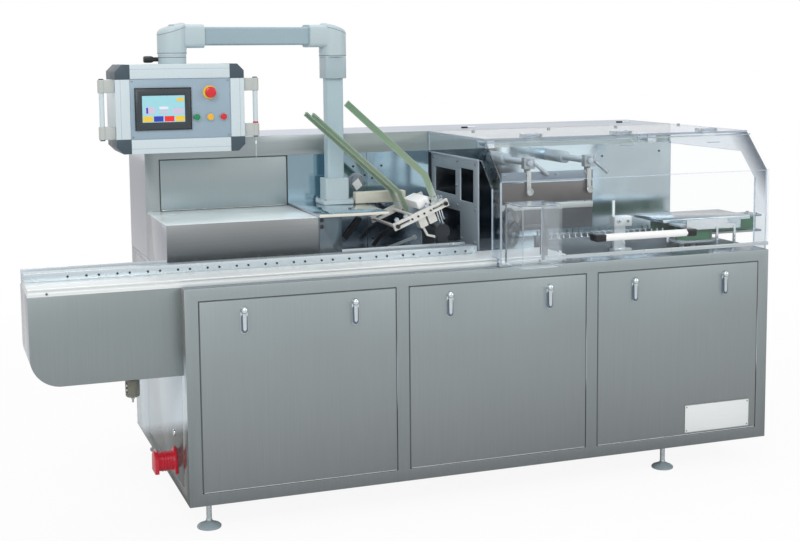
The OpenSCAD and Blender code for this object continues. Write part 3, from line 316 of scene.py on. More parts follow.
def steel_along(name, left, right, start, stop, rubbed_and_highlit, metallic):
    """Brushed steel that changes colour between two places along the machine, in mm."""
    finish = Finish(name, left, 0.4, metallic)
    towards_hood = finish.axis_mask("X", spot(start, 0, 0).x, spot(stop, 0, 0).x)
    finish.tint = finish.blend(towards_hood, left, right)
    return finish.brushed(LEVEL_GRAIN, rubbed_and_highlit).done()


def base_side_steel_with_painted_reflection():
    """Polished end panels with a painted reflection of the shop floor, darker low down, and a
    painted shade in the narrow band beside the infeed housing.
    """
    pale, painted_floor_reflection = paint(207, 220, 228), paint(86, 90, 89)
    painted_strip_shade, upper = paint(134, 134, 131), paint(188, 191, 199)
    lean, height = 0.29, 0.383
    finish = Finish("Base side polished steel, painted reflection and shade", pale, 0.22, metallic=0.4)
    # Painted reflection of the floor: darker below a sloped line
    edge = height + lean * CORNER.y
    bright = finish.slant_mask((0, lean, 1), edge - 0.02, edge + 0.03)
    finish.tint = finish.blend(bright, painted_floor_reflection, pale)
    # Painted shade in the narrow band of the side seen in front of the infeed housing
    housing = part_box("infeed_housing")[0]
    behind_painted_strip_shade = finish.axis_mask("Y", housing.y - 0.002, housing.y)
    above_housing = finish.axis_mask("Z", housing.z, housing.z + 0.08)
    finish.tint = finish.blend(above_housing, finish.tint, finish.blend(behind_painted_strip_shade, painted_strip_shade, upper))
    finish.grained(UPRIGHT_GRAIN, 0.012, relief=0.015).marked(2.2, 0.05)
    return finish.worn_and_highlit(paint(226, 230, 232)).set(Specular_IOR_Level=0.15).done()


def painted(name, colour, roughness, coat=0.1):
    """Sprayed paint on metal, paler along its edges from wear and a painted highlight."""
    finish = Finish(name, colour, roughness)
    finish.grained(CAST_GRAIN, 0.03, relief=0.06, depth=0.0004).marked(4.0, 0.06)
    finish.worn_and_highlit(shade(colour, 1.25))
    return finish.set(Coat_Weight=coat, Coat_Roughness=0.2).done()


def moulded(name, colour, roughness=0.4, relief=0.08):
    """Moulded plastic or rubber."""
    finish = Finish(name, colour, roughness)
    return finish.grained(PLASTIC_GRAIN, 0.04, relief, depth=0.0003).marked(8.0, 0.07).done()


def bright_metal(name, colour, roughness):
    """Plated or polished fittings."""
    finish = Finish(name, colour, roughness, metallic=1.0)
    return finish.grained(PLATED_GRAIN, 0.03, relief=0.02).marked(14.0, roughness * 0.4).done()


def clear_sheet(name, tint, coat=0.8, milk=0.0, corner=None):
    """Acrylic sheet with faint wipe marks; its shadow lets the light through.

    The corner is a darker tint, a painted shade on the sloped front corner of the right hood end.
    """
    finish = Finish(name, tint, 0.015)
    if corner:
        sloped = finish.blend(finish.slant_mask((0, -1, 1), 1.5, 1.63), tint, corner)
        finish.tint = finish.blend(finish.axis_mask("X", 0.5, 0.6), tint, sloped)
    finish.marked(5.0, 0.012).set(Transmission_Weight=1.0 - milk, IOR=1.03)
    finish.set(Coat_Weight=coat, Coat_IOR=1.42, Coat_Roughness=0.02)
    path = finish.add("ShaderNodeLightPath")
    through = finish.add("ShaderNodeBsdfTransparent", {"Color": (0.97, 0.98, 0.985, 1.0)})
    finish.give_way(path.outputs["Is Shadow Ray"], through.outputs["BSDF"])
    return finish.done()


def sheet_rim():
    """Sawn and polished edge of the acrylic, milky where the light gathers."""
    finish = Finish("Acrylic rim", paint(186, 198, 210), 0.2)
    finish.grained(CAST_GRAIN, 0.05, relief=0.05).marked(12.0, 0.08)
    return finish.set(Transmission_Weight=0.25, IOR=1.1).done()


def rail_paint():
    """Green paint on the magazine's slope, paler low down, bare steel on its steep ends."""
    deep, pale, steel = paint(78, 124, 88), paint(120, 144, 116), paint(190, 198, 198)
    finish = Finish("Magazine rail green", deep, 0.42)
    low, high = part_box("magazine_rails")
    green = finish.blend(finish.axis_mask("Z", (low.z + high.z) / 2, high.z), pale, deep)
    skew = 0.3
    edge = spot(930, 0, 0).x + skew * high.y
    bare = finish.slant_mask((1, skew, 0), edge, edge + 0.03)
    finish.tint = finish.blend(bare, green, steel)
    finish.grained(CAST_GRAIN, 0.05, relief=0.05).marked(9.0, 0.08)
    # Pale edge lines on the rails: wear and a painted highlight
    return finish.worn_and_highlit(paint(206, 214, 208), 0.0035, 0.9).done()


def wall_steel_with_painted_shade():
    """Polished wall with painted shade: dark low behind the magazine, darkest beside the feeder,
    pale under the hood.
    """
    pale, middle, dark = paint(204, 222, 230), paint(158, 186, 200), paint(138, 151, 163)
    finish = Finish("Polished wall steel, painted shade", pale, 0.13, metallic=1.0)

    def right_of(x, width):
        return finish.axis_mask("X", spot(x, 0, 0).x, spot(x + width, 0, 0).x)

    # Painted shade: darker low down behind the magazine, and very dark beside the feeder
    magazine = finish.blend(finish.axis_mask("Z", 1.0, 1.06), dark, middle)
    feeder = finish.blend(right_of(1155, 5), magazine, paint(58, 66, 74))
    finish.tint = finish.blend(right_of(1460, 30), feeder, pale)
    return finish.grained(CAST_GRAIN, 0.025, relief=0.03).marked(6.0, 0.05).done()


def belt_rubber():
    """Ribbed green rubber of the outfeed belts."""
    finish = Finish("Belt green rubber", paint(52, 100, 74), 0.6)
    return finish.grained(BELT_GRAIN, 0.08, relief=0.25, depth=0.0006).marked(7.0, 0.1).done()


def lit_screen(name, colour):
    """Backlit display colour under a smooth cover."""
    finish = Finish(name, colour, 0.18)
    finish.grained(SCREEN_GRAIN, 0.03, relief=0.0).marked(20.0, 0.04)
    return finish.set(Emission_Color=colour, Emission_Strength=0.12).done()


# Painted shade: frame and housing steel darker low down, pedestal steel darker high up
FRAME_STEEL = steel_with_painted_shade("Cabinet frame steel, painted shade low down", paint(112, 118, 120), paint(150, 160, 162),
                           80, 850, 0.4)
HOUSING_STEEL = steel_with_painted_shade("Infeed housing steel, painted shade low down", paint(128, 136, 138), paint(139, 149, 150),
                             480, 860, 0.4)
PEDESTAL_STEEL = steel_with_painted_shade("Pedestal polished steel, painted shade high up", paint(132, 143, 148),
                              paint(92, 106, 114), 890, 950, 0.2)
BACK_STEEL = steel_along("Back cabinet steel", paint(158, 166, 168), paint(138, 149, 147),
                         560, 900, paint(200, 206, 206), 0.6)
# Cabinet tops: a lighter copy of the steel, a painted light, darker towards the hood
TOP_STEEL_PAINTED_LIGHT = steel_along("Cabinet top steel, painted light", paint(204, 208, 218), paint(168, 176, 187),
                        300, 1300, paint(206, 212, 216), 0.3)
# Panel above the table: a lighter copy of the cabinet steel, a painted light against the shade
# there
BACK_PANEL_PAINTED_LIGHT = brushed_steel("Back panel steel, painted light", paint(164, 175, 177), 0.4)
BASE_SIDE_PAINTED_REFLECTION = base_side_steel_with_painted_reflection()
# Cover top: a near-white copy of the cover steel, a painted light on its shaded top
COVER_TOP_PAINTED_LIGHT = brushed_steel("Cover top steel, painted light", paint(238, 250, 254), 0.2, LEVEL_GRAIN, metallic=0.1)
MIRROR_STEEL = brushed_steel("Mirror polished steel", paint(206, 218, 224), 0.09, LEVEL_GRAIN,
                             0.01, 0.95)
TABLE_STEEL = brushed_steel("Table top steel", paint(128, 139, 146), 0.24, LEVEL_GRAIN)
GUIDE_STEEL = brushed_steel("Guide rail steel", paint(196, 207, 213), 0.28, LEVEL_GRAIN)
PLATE_EDGE = brushed_steel("Pedestal plate edge steel", paint(222, 220, 208), 0.3, LEVEL_GRAIN,
                           metallic=0.3)
MOUTH_STEEL = brushed_steel("Magazine mouth steel", paint(222, 221, 215), 0.3, LEVEL_GRAIN,
                            metallic=0.2)
BAR_STEEL = brushed_steel("Guide bar steel", paint(168, 172, 170), 0.3, LEVEL_GRAIN, metallic=0.4)
BLUED_STEEL = brushed_steel("Blued bar steel", paint(112, 126, 138), 0.3, LEVEL_GRAIN,
                            metallic=0.5)
GREY_PLATE = brushed_steel("Lower guide plate steel", paint(112, 117, 122), 0.22, LEVEL_GRAIN)
SATIN_STEEL = brushed_steel("Satin shaft steel", paint(160, 172, 178), 0.34, CAST_GRAIN, 0.06, 0.5)
CLAMP_STEEL = brushed_steel("Clamp steel", paint(152, 161, 166), 0.3, CAST_GRAIN, 0.04)
TRACK_STEEL = brushed_steel("Carton track steel", paint(108, 118, 126), 0.32, LEVEL_GRAIN)
PLATE_TOP = brushed_steel("Outfeed top plate steel", paint(98, 110, 118), 0.2, LEVEL_GRAIN,
                          0.01, 0.5)
FINISHES = {
    # Cabinet and cover steel: painted shade, darker low down
    "cabinet_steel": steel_with_painted_shade("Cabinet brushed steel, painted shade low down", paint(124, 129, 131),
                                  paint(146, 156, 158), 150, 800, 0.4),
    "cover_steel": steel_with_painted_shade("Cover brushed steel, painted shade low down", paint(104, 110, 113), paint(140, 143, 144),
                                930, 1030, 0.34, LEVEL_GRAIN),
    "side_steel": brushed_steel("Side polished steel", paint(184, 187, 196), 0.14),
    "polished_steel": wall_steel_with_painted_shade(),
    "deck_aluminium": brushed_steel("Deck aluminium", paint(226, 230, 230), 0.36, LEVEL_GRAIN,
                                    metallic=0.4),
    "machined_steel": brushed_steel("Machined steel", paint(190, 199, 203), 0.28, LEVEL_GRAIN),
    "dark_steel": painted("Dark steel", paint(136, 147, 156), 0.42),
    "latch_chrome": bright_metal("Latch chrome", paint(204, 211, 215), 0.1),
    "zinc_steel": bright_metal("Zinc plated steel", paint(168, 172, 172), 0.38),
    "pendant_grey": painted("Pendant tube grey", paint(173, 194, 202), 0.38),
    "pendant_cast": painted("Pendant casting grey", paint(180, 196, 201), 0.4),
    "box_white": painted("Control box white", paint(200, 213, 218), 0.36, 0.2),
    "corner_slate": moulded("Corner slate plastic", paint(60, 76, 86), 0.42),
    "face_blue": painted("Control face grey blue", paint(148, 169, 184), 0.4),
    "panel_black": moulded("Panel black plastic", paint(50, 58, 63), 0.3),
    "stop_red": moulded("Stop red plastic", paint(205, 40, 46), 0.28, 0.03),
    "button_metal": bright_metal("Button ring chrome", paint(214, 218, 220), 0.16),
    "inlet_red": moulded("Inlet red plastic", paint(204, 26, 50), 0.32, 0.04),
    "filter_grey": moulded("Filter olive plastic", paint(128, 128, 116), 0.24, 0.03),
    "rail_green": rail_paint(),
    "arm_beige": painted("Magazine arm beige", paint(206, 204, 190), 0.42),
    "white_plastic": moulded("White plastic", paint(240, 241, 240), 0.36, 0.03),
    "guide_bronze": brushed_steel("Guide plate steel", paint(94, 91, 90), 0.36, LEVEL_GRAIN),
    "belt_green": belt_rubber(),
    "clear_sheet": clear_sheet("Clear acrylic", (0.985, 0.994, 0.997, 1.0)),
}
SIDE_STEEL = FINISHES["side_steel"]
ACRYLIC_RIM = sheet_rim()
# Darker dish beside the latch lever: a painted shade in the recess
LATCH_DISH_SHADE = bright_metal("Latch dish steel, painted shade", paint(104, 118, 132), 0.2)
# Painted highlight along the lower edges of the front panels
SILL_HIGHLIGHT = bright_metal("Sill steel, painted highlight", paint(226, 230, 231), 0.3)
SCREW_BLACK = painted("Blackened screw steel", paint(38, 40, 44), 0.35)
FOOT_GREY = painted("Foot pad grey", paint(152, 167, 173), 0.4)
COLLAR_GREY = painted("Pendant collar grey", paint(166, 183, 189), 0.4)
GROOVE_GREY = painted("Frame groove grey", paint(158, 172, 180), 0.45)
SOCKET_DARK = moulded("Socket shadow", paint(12, 12, 13), 0.6)
SEAL_GREY = moulded("Seal grey rubber", paint(104, 110, 112), 0.6)
KNOB_BLACK = moulded("Knob black plastic", paint(24, 25, 28), 0.3)
RING_YELLOW = moulded("Stop ring yellow", paint(236, 200, 40), 0.35)
CLIP_GREY = moulded("Handle clip grey", paint(182, 187, 184), 0.4)
CAP_COLOURS = {
    "green": moulded("Button cap green", paint(26, 132, 88), 0.25, 0.02),
    "yellow": moulded("Button cap yellow", paint(232, 178, 52), 0.25, 0.02),
    "red": moulded("Button cap red", paint(200, 44, 50), 0.25, 0.02),
}
SCREEN_COLOURS = {
    "cyan": lit_screen("Screen cyan", paint(150, 204, 214)),
    "yellow": lit_screen("Screen yellow", paint(226, 190, 66)),
    "blue": lit_screen("Screen blue", paint(46, 58, 168)),
    "red": lit_screen("Screen red", paint(232, 40, 44)),
    "lilac": lit_screen("Screen lilac", paint(198, 184, 206)),
    "white": lit_screen("Screen white", paint(222, 218, 226)),
}

# CAD nodes that differ from the finish of their slot
NODE_FINISHES = {
    "arm_tube": painted("Pendant arm grey", paint(150, 172, 181), 0.38),
    "magazine_mouth": MOUTH_STEEL,
    "separator_head": MOUTH_STEEL,
    "suction_feeder": painted("Feeder black steel", paint(66, 71, 76), 0.4),
}
for node, slot in NODE_SLOT.items():
    for material_slot in frame["nodes"][node].material_slots:
        material_slot.material = NODE_FINISHES.get(node, FINISHES[slot])


# Pieces

# Angle in degrees past which two faces meet in an edge
CREASE = 38
# Reach within which the loose corners of a CAD mesh are one
WELD = 1e-5


def body_of(node):
    """Body that a CAD node rides on."""
    return frame["nodes"][node]["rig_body"]


def settle(name, mesh, body, stands_for=()):
    """Puts a finished mesh on its body and hides the nodes it stands for."""
    piece = bpy.data.objects.new(name, mesh)
    bpy.context.scene.collection.objects.link(piece)
    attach(piece, body)
    if stands_for:
        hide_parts(*stands_for)
    return piece


def evaluated_mesh(worker):
    """Plain mesh of an object with its modifiers applied; the object is removed."""
    bpy.context.scene.collection.objects.link(worker)
    bpy.context.view_layer.update()
    shown = worker.evaluated_get(bpy.context.evaluated_depsgraph_get())
    mesh = bpy.data.meshes.new_from_object(shown)
    worker.modifiers.clear()
    bpy.data.objects.remove(worker)
    return mesh


def smooth_between(mesh):
    """Smooth shading between the mesh's edges."""
    mesh.shade_smooth()
    mesh.set_sharp_from_angle(angle=math.radians(CREASE))


def merged_copy(node):
    """Working copy of a CAD node's mesh, with its loose triangles joined."""
    work = bmesh.new()
    work.from_mesh(frame["nodes"][node].data)
    bmesh.ops.remove_doubles(work, verts=work.verts, dist=WELD)
    return work


def loose_boxes(node):
    """Low and high corners of each separate solid in a CAD node."""
    work = merged_copy(node)
    found, seen = [], set()
    for start in work.verts:
        if start in seen:
            continue
        group, queue = [], [start]
        seen.add(start)
        while queue:
            vert = queue.pop()
            group.append(vert.co.copy())
            for link in vert.link_edges:
                other = link.other_vert(vert)
                if other not in seen:
                    seen.add(other)
                    queue.append(other)
        found.append((Vector(min(c[a] for c in group) for a in range(3)),
                      Vector(max(c[a] for c in group) for a in range(3))))
    work.free()
    return found


def softened(node, radius, segments=2, finish=None, others=(), flat=False):
    """Copy of a CAD node with its sharp edges rounded.

    The others are pairs of a test and a finish: a face that passes the test
    takes that finish. A flat copy keeps every face plane, as clear sheets need.
    """
    level = math.radians(0.4)
    mesh = bpy.data.meshes.new(node + "_rounded")
    work = merged_copy(node)
    bmesh.ops.dissolve_limit(work, angle_limit=level, use_dissolve_boundaries=False,
                             verts=work.verts, edges=work.edges)
    work.to_mesh(mesh)
    work.free()
    mesh.materials.clear()
    mesh.materials.append(finish or FINISHES[NODE_SLOT[node]])
    worker = bpy.data.objects.new(node + "_rounded", mesh)
    bevel = worker.modifiers.new("Rounded edges", "BEVEL")
    bevel.width = radius * MM
    bevel.segments = segments
    bevel.limit_method = "ANGLE"
    bevel.angle_limit = math.radians(CREASE)
    bevel.use_clamp_overlap = True
    result = evaluated_mesh(worker)
    if flat:
        result.shade_flat()
    else:
        smooth_between(result)
    for index, (chosen, other) in enumerate(others, start=1):
        result.materials.append(other)
        for face in result.polygons:
            if chosen(result, face):
                face.material_index = index
    return settle(node + "_rounded", result, body_of(node), (node,))


# Share of a face's normal past which the face counts as turned that way
SQUARE_ON = 0.9


def faces_left(mesh, face):
    return face.normal.x < -SQUARE_ON


def faces_right(mesh, face):
    return face.normal.x > SQUARE_ON


def faces_an_end(mesh, face):
    return faces_left(mesh, face) or faces_right(mesh, face)


def faces_up(mesh, face):
    return face.normal.z > SQUARE_ON


def is_above_table(mesh, face):
    """True of faces higher than the base cabinet's table."""
    return face.center.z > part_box("base_cabinet")[1].z


def is_narrow(mesh, face, limit=9 * MM):
    """True of the edge faces of a thin sheet, which are long one way only."""
    corners = [mesh.vertices[k].co for k in face.vertices]
    spans = sorted(max(c[a] for c in corners) - min(c[a] for c in corners) for a in range(3))
    return spans[1] < limit


def ring(centre, side, other, radius, steps):
    """Points of a circle in the plane of two directions, with its radius in mm."""
    turns = [2 * math.pi * k / steps for k in range(steps)]
    return [centre + (side * math.cos(a) + other * math.sin(a)) * (radius * MM) for a in turns]


def skin(rows):
    """Closed skin through rows of points, each row a ring of as many points."""
    part = bmesh.new()
    rings = [[part.verts.new(point) for point in row] for row in rows]
    for low, high in zip(rings, rings[1:]):
        for k in range(len(low)):
            follow = (k + 1) % len(low)
            part.faces.new([low[k], low[follow], high[follow], high[k]])
    part.faces.new(rings[0])
    part.faces.new(rings[-1][::-1])
    return part


class Shape:
    """Simple solids, each with its own finish, joined into one piece."""

    def __init__(self):
        self.mesh = bmesh.new()
        self.finishes = []

    def take(self, part, finish):
        """Adds a part, all in one finish."""
        if finish not in self.finishes:
            self.finishes.append(finish)
        for face in part.faces:
            face.material_index = self.finishes.index(finish)
        bmesh.ops.recalc_face_normals(part, faces=part.faces)
        joined = bpy.data.meshes.new("joined")
        part.to_mesh(joined)
        part.free()
        self.mesh.from_mesh(joined)
        bpy.data.meshes.remove(joined)

    def block(self, low, high, finish, rounding=0.8, segments=2):
        """Box between two corners, its edges rounded by a radius in mm."""
        part = bmesh.new()
        size = high - low
        place = Matrix.Translation((low + high) / 2) @ Matrix.Diagonal((*size, 1))
        bmesh.ops.create_cube(part, size=1, matrix=place)
        if rounding:
            offset = min(rounding * MM, min(size) * 0.45)
            bmesh.ops.bevel(part, geom=part.edges[:], offset=offset, segments=segments,
                            profile=0.5, affect="EDGES", clamp_overlap=True)
        self.take(part, finish)

    def rim(self, low, high, width, finish, rounding):
        """Four bars just inside a rectangle that faces the front."""
        for x0, z0, x1, z1 in ((low.x, low.z, high.x, low.z + width),
                               (low.x, high.z - width, high.x, high.z),
                               (low.x, low.z, low.x + width, high.z),
                               (high.x - width, low.z, high.x, high.z)):
            self.block(Vector((x0, low.y, z0)), Vector((x1, high.y, z1)), finish, rounding)

    def turned(self, profile, foot, axis, finish, steps=32):
        """Solid of revolution from (radius, height) pairs in mm along an axis."""
        axis = Vector(axis).normalized()
        side = axis.orthogonal().normalized()
        other = axis.cross(side)
        part = bmesh.new()
        rings = []
        for radius, height in profile:
            points = ring(foot + axis * (height * MM), side, other, radius, steps if radius else 1)
            rings.append([part.verts.new(point) for point in points])
        for low, high in zip(rings, rings[1:]):
            for k in range(steps):
                corners = [low[k % len(low)], low[(k + 1) % len(low)],
                           high[(k + 1) % len(high)], high[k % len(high)]]
                corners = list(dict.fromkeys(corners))
                if len(corners) > 2:
                    part.faces.new(corners)
        self.take(part, finish)

    def rod(self, start, end, radius, finish, steps=24, chamfer=0.6):
        """Round bar between two points, chamfered at both ends."""
        length = (end - start).length / MM
        chamfer = min(chamfer, radius / 2, length / 3)
        profile = [(0, 0), (radius - chamfer, 0), (radius, chamfer), (radius, length - chamfer),
                   (radius - chamfer, length), (0, length)]
        self.turned(profile, start, end - start, finish, steps)

    def prism(self, outline, travel, finish, rounding=0.0, segments=2):
        """Outline of points, drawn out along a travel."""
        part = bmesh.new()
        near = [part.verts.new(p) for p in outline]
        far = [part.verts.new(p + travel) for p in outline]
        part.faces.new(near)
        part.faces.new(far[::-1])
        for k in range(len(near)):
            follow = (k + 1) % len(near)
            part.faces.new([near[k], far[k], far[follow], near[follow]])
        if rounding:
            sharp = [e for e in part.edges if e.calc_face_angle(0) > math.radians(40)]
            bmesh.ops.bevel(part, geom=sharp, offset=rounding * MM, segments=segments,
                            profile=0.5, affect="EDGES", clamp_overlap=True)
        self.take(part, finish)

    def wire(self, path, radius, finish, steps=10):
        """Round bar along a path of points."""
        rows = []
        side = (path[1] - path[0]).orthogonal().normalized()
        for k, point in enumerate(path):
            lead = (path[min(k + 1, len(path) - 1)] - path[max(k - 1, 0)]).normalized()
            side = (side - lead * side.dot(lead)).normalized()
            rows.append(ring(point, side, lead.cross(side), radius, steps))
        self.take(skin(rows), finish)

    def to_mesh(self, name):
        """All the parts as one mesh; the shape can't be added to after that."""
        mesh = bpy.data.meshes.new(name)
        self.mesh.to_mesh(mesh)
        self.mesh.free()
        for finish in self.finishes:
            mesh.materials.append(finish)
        smooth_between(mesh)
        return mesh

    def piece(self, name, body, slot, *stands_for):
        """The finished piece, on its body."""
        return settle(name, self.to_mesh(name), body, stands_for)


def stadium(width, length, top, steps=12):
    """Outline in X and Z of a long plate with round ends, hanging down from its top."""
    r = width / 2
    turns = [math.pi * k / steps for k in range(steps + 1)]
    upper = [(r * math.cos(a), top - r + r * math.sin(a)) for a in turns]
    lower = [(-r * math.cos(a), top - length + r - r * math.sin(a)) for a in turns]
    return [Vector((x * MM, 0, z * MM)) for x, z in upper + lower]


# Geometry Nodes

def node_tree(name, inputs):
    """An empty tree with its inputs, and the nodes at its two ends."""
    tree = bpy.data.node_groups.new(name, "GeometryNodeTree")
    for way in ("INPUT", "OUTPUT"):
        tree.interface.new_socket(name="Geometry", in_out=way, socket_type="NodeSocketGeometry")
    for label, kind, value in inputs:
        socket = tree.interface.new_socket(name=label, in_out="INPUT", socket_type=kind)
        if value is not None:
            socket.default_value = value
    return tree, tree.nodes.new("NodeGroupInput"), tree.nodes.new("NodeGroupOutput")


def repeat_on_points(tree, given, result, fitting):
    """Ends a tree: one fitting on each point, turned by its aim, as plain faces.

    Faces that carry the recess attribute take the recess finish.
    """
    aim = new_node(tree, "GeometryNodeInputNamedAttribute", {"Name": "aim"},
                   data_type="FLOAT_VECTOR")
    turn = new_node(tree, "FunctionNodeEulerToRotation")
    repeat = new_node(tree, "GeometryNodeInstanceOnPoints")
    realize = new_node(tree, "GeometryNodeRealizeInstances")
    dress = new_node(tree, "GeometryNodeSetMaterial")
    recess = new_node(tree, "GeometryNodeInputNamedAttribute", {"Name": "recess"},
                      data_type="BOOLEAN")
    dress_recess = new_node(tree, "GeometryNodeSetMaterial")
    link = tree.links.new
    link(aim.outputs["Attribute"], turn.inputs["Euler"])
    link(given.outputs["Geometry"], repeat.inputs["Points"])
    link(fitting, repeat.inputs["Instance"])
    link(turn.outputs["Rotation"], repeat.inputs["Rotation"])
    link(repeat.outputs["Instances"], realize.inputs["Geometry"])
    link(realize.outputs["Geometry"], dress.inputs["Geometry"])
    link(given.outputs["Finish"], dress.inputs["Material"])
    link(dress.outputs["Geometry"], dress_recess.inputs["Geometry"])
    link(recess.outputs["Attribute"], dress_recess.inputs["Selection"])
    link(given.outputs["Recess finish"], dress_recess.inputs["Material"])
    link(dress_recess.outputs["Geometry"], result.inputs["Geometry"])


def socket_screw_tree():
    """Socket head screws: a head, a chamfer and a six-sided socket on every point."""
    tree, given, result = node_tree("Socket screws", [
        ("Head diameter", "NodeSocketFloat", 0.010),
        ("Head height", "NodeSocketFloat", 0.006),
        ("Socket diameter", "NodeSocketFloat", 0.005),
        ("Finish", "NodeSocketMaterial", None),
        ("Recess finish", "NodeSocketMaterial", None)])
    link = tree.links.new
    round_sides, socket_sides = 18, 6
    straight, chamfered, narrowed = 0.8, 0.2, 0.86
    socket_depth, socket_level = 0.1, 0.96

    def scaled(output, factor):
        node = new_node(tree, "ShaderNodeMath", {1: factor}, operation="MULTIPLY")
        link(output, node.inputs[0])
        return node.outputs["Value"]

    def of_height(share):
        return scaled(given.outputs["Head height"], share)

    def lifted(mesh, share):
        place = new_node(tree, "ShaderNodeCombineXYZ")
        move = new_node(tree, "GeometryNodeTransform")
        link(of_height(share), place.inputs["Z"])
        link(mesh, move.inputs["Geometry"])
        link(place.outputs["Vector"], move.inputs["Translation"])
        return move.outputs["Geometry"]

    radius = scaled(given.outputs["Head diameter"], 0.5)
    head = new_node(tree, "GeometryNodeMeshCylinder", {"Vertices": round_sides})
    link(radius, head.inputs["Radius"])
    link(of_height(straight), head.inputs["Depth"])
    chamfer = new_node(tree, "GeometryNodeMeshCone", {"Vertices": round_sides})
    link(scaled(radius, narrowed), chamfer.inputs["Radius Top"])
    link(radius, chamfer.inputs["Radius Bottom"])
    link(of_height(chamfered), chamfer.inputs["Depth"])
    socket = new_node(tree, "GeometryNodeMeshCylinder", {"Vertices": socket_sides})
    link(scaled(given.outputs["Socket diameter"], 0.5), socket.inputs["Radius"])
    link(of_height(socket_depth), socket.inputs["Depth"])
    mark = new_node(tree, "GeometryNodeStoreNamedAttribute", {"Name": "recess", "Value": True},
                    data_type="BOOLEAN", domain="FACE")
    link(lifted(socket.outputs["Mesh"], socket_level), mark.inputs["Geometry"])
    join = new_node(tree, "GeometryNodeJoinGeometry")
    link(lifted(head.outputs["Mesh"], straight / 2), join.inputs["Geometry"])
    link(lifted(chamfer.outputs["Mesh"], straight), join.inputs["Geometry"])
    link(mark.outputs["Geometry"], join.inputs["Geometry"])
    repeat_on_points(tree, given, result, join.outputs["Geometry"])
    return tree


def repeated_fitting_tree():
    """One made fitting on every point."""
    tree, given, result = node_tree("Repeated fitting", [
        ("Fitting", "NodeSocketObject", None),
        ("Finish", "NodeSocketMaterial", None),
        ("Recess finish", "NodeSocketMaterial", None)])
    source = new_node(tree, "GeometryNodeObjectInfo")
    tree.links.new(given.outputs["Fitting"], source.inputs["Object"])
    repeat_on_points(tree, given, result, source.outputs["Geometry"])
    return tree


SOCKET_SCREWS = socket_screw_tree()
REPEATED_FITTING = repeated_fitting_tree()
# Width of a screw's socket, as a share of its head
SOCKET_SHARE = 0.52


def repeated(name, tree, places, settings, body, stands_for=()):
    """Fittings at places, each a point and the way it faces, as one piece."""
    mesh = bpy.data.meshes.new(name)
    mesh.from_pydata([point for point, facing in places], [], [])
    aim = mesh.attributes.new("aim", "FLOAT_VECTOR", "POINT")
    for item, (point, facing) in zip(aim.data, places):
        item.vector = facing.to_track_quat("Z", "Y").to_euler()
    worker = bpy.data.objects.new(name, mesh)
    modifier = worker.modifiers.new(tree.name, "NODES")
    modifier.node_group = tree
    names = {item.name: item.identifier for item in tree.interface.items_tree
             if item.in_out == "INPUT"}
    for label, value in settings.items():
        modifier[names[label]] = value
    result = evaluated_mesh(worker)
    smooth_between(result)
    return settle(name, result, body, stands_for)


def screws(name, places, diameter, height, black=False, body="machine"):
    """Screws of one size, in mm, at places: zinc plated, or blackened."""
    slot = "dark_steel" if black else "zinc_steel"
    finish = SCREW_BLACK if black else FINISHES[slot]
    settings = {"Head diameter": diameter * MM, "Head height": height * MM,
                "Socket diameter": diameter * SOCKET_SHARE * MM, "Finish": finish,
                "Recess finish": SOCKET_DARK}
    return repeated(name, SOCKET_SCREWS, places, settings, body)


def fittings(name, shape, places, finishes, stands_for=(), turn=None):
    """One shape repeated at places on the machine, its second finish as the recess."""
    mesh = shape.to_mesh(name + "_master")
    recess = mesh.attributes.new("recess", "BOOLEAN", "FACE")
    for item, face in zip(recess.data, mesh.polygons):
        item.value = face.material_index == 1
    if turn:
        mesh.transform(turn)
    master = bpy.data.objects.new(name + "_master", mesh)
    settings = {"Fitting": master, "Finish": finishes[0], "Recess finish": finishes[1]}
    repeated(name, REPEATED_FITTING, places, settings, "machine", stands_for)
    bpy.data.objects.remove(master)


def front_places(face, spots):
    """Places on a plane that faces the front, from x and z in mm."""
    return [(Vector((spot(x, 0, 0).x, face, z * MM)), FRONT) for x, z in spots]


def corner_places(low, high, face, inset):
    """Places near the four corners of a plate that faces the front."""
    return [(Vector((x, face, z)), FRONT) for x in (low.x + inset, high.x - inset)
            for z in (low.z + inset, high.z - inset)]


# Cabinets

# The left end faces carry a painted reflection of the floor
softened("base_cabinet", 2.0, finish=FRAME_STEEL,
         others=[(faces_left, BASE_SIDE_PAINTED_REFLECTION), (faces_right, SIDE_STEEL), (faces_up, TABLE_STEEL)])
# Faces above the table take a lighter copy, a painted light against the shade there
softened("front_panels", 1.6, others=[(is_above_table, BACK_PANEL_PAINTED_LIGHT)])
softened("rear_panels", 1.6)
# Left side panels: painted reflection of the floor
softened("side_panels", 1.6, finish=BASE_SIDE_PAINTED_REFLECTION, others=[(faces_right, SIDE_STEEL)])
# The tops of the back cabinet and the cover take lighter finishes, a painted light
softened("back_cabinet", 2.0, finish=BACK_STEEL,
         others=[(faces_an_end, SIDE_STEEL), (faces_up, TOP_STEEL_PAINTED_LIGHT)])
softened("infeed_cover", 2.5, others=[(faces_an_end, SIDE_STEEL), (faces_up, COVER_TOP_PAINTED_LIGHT)])


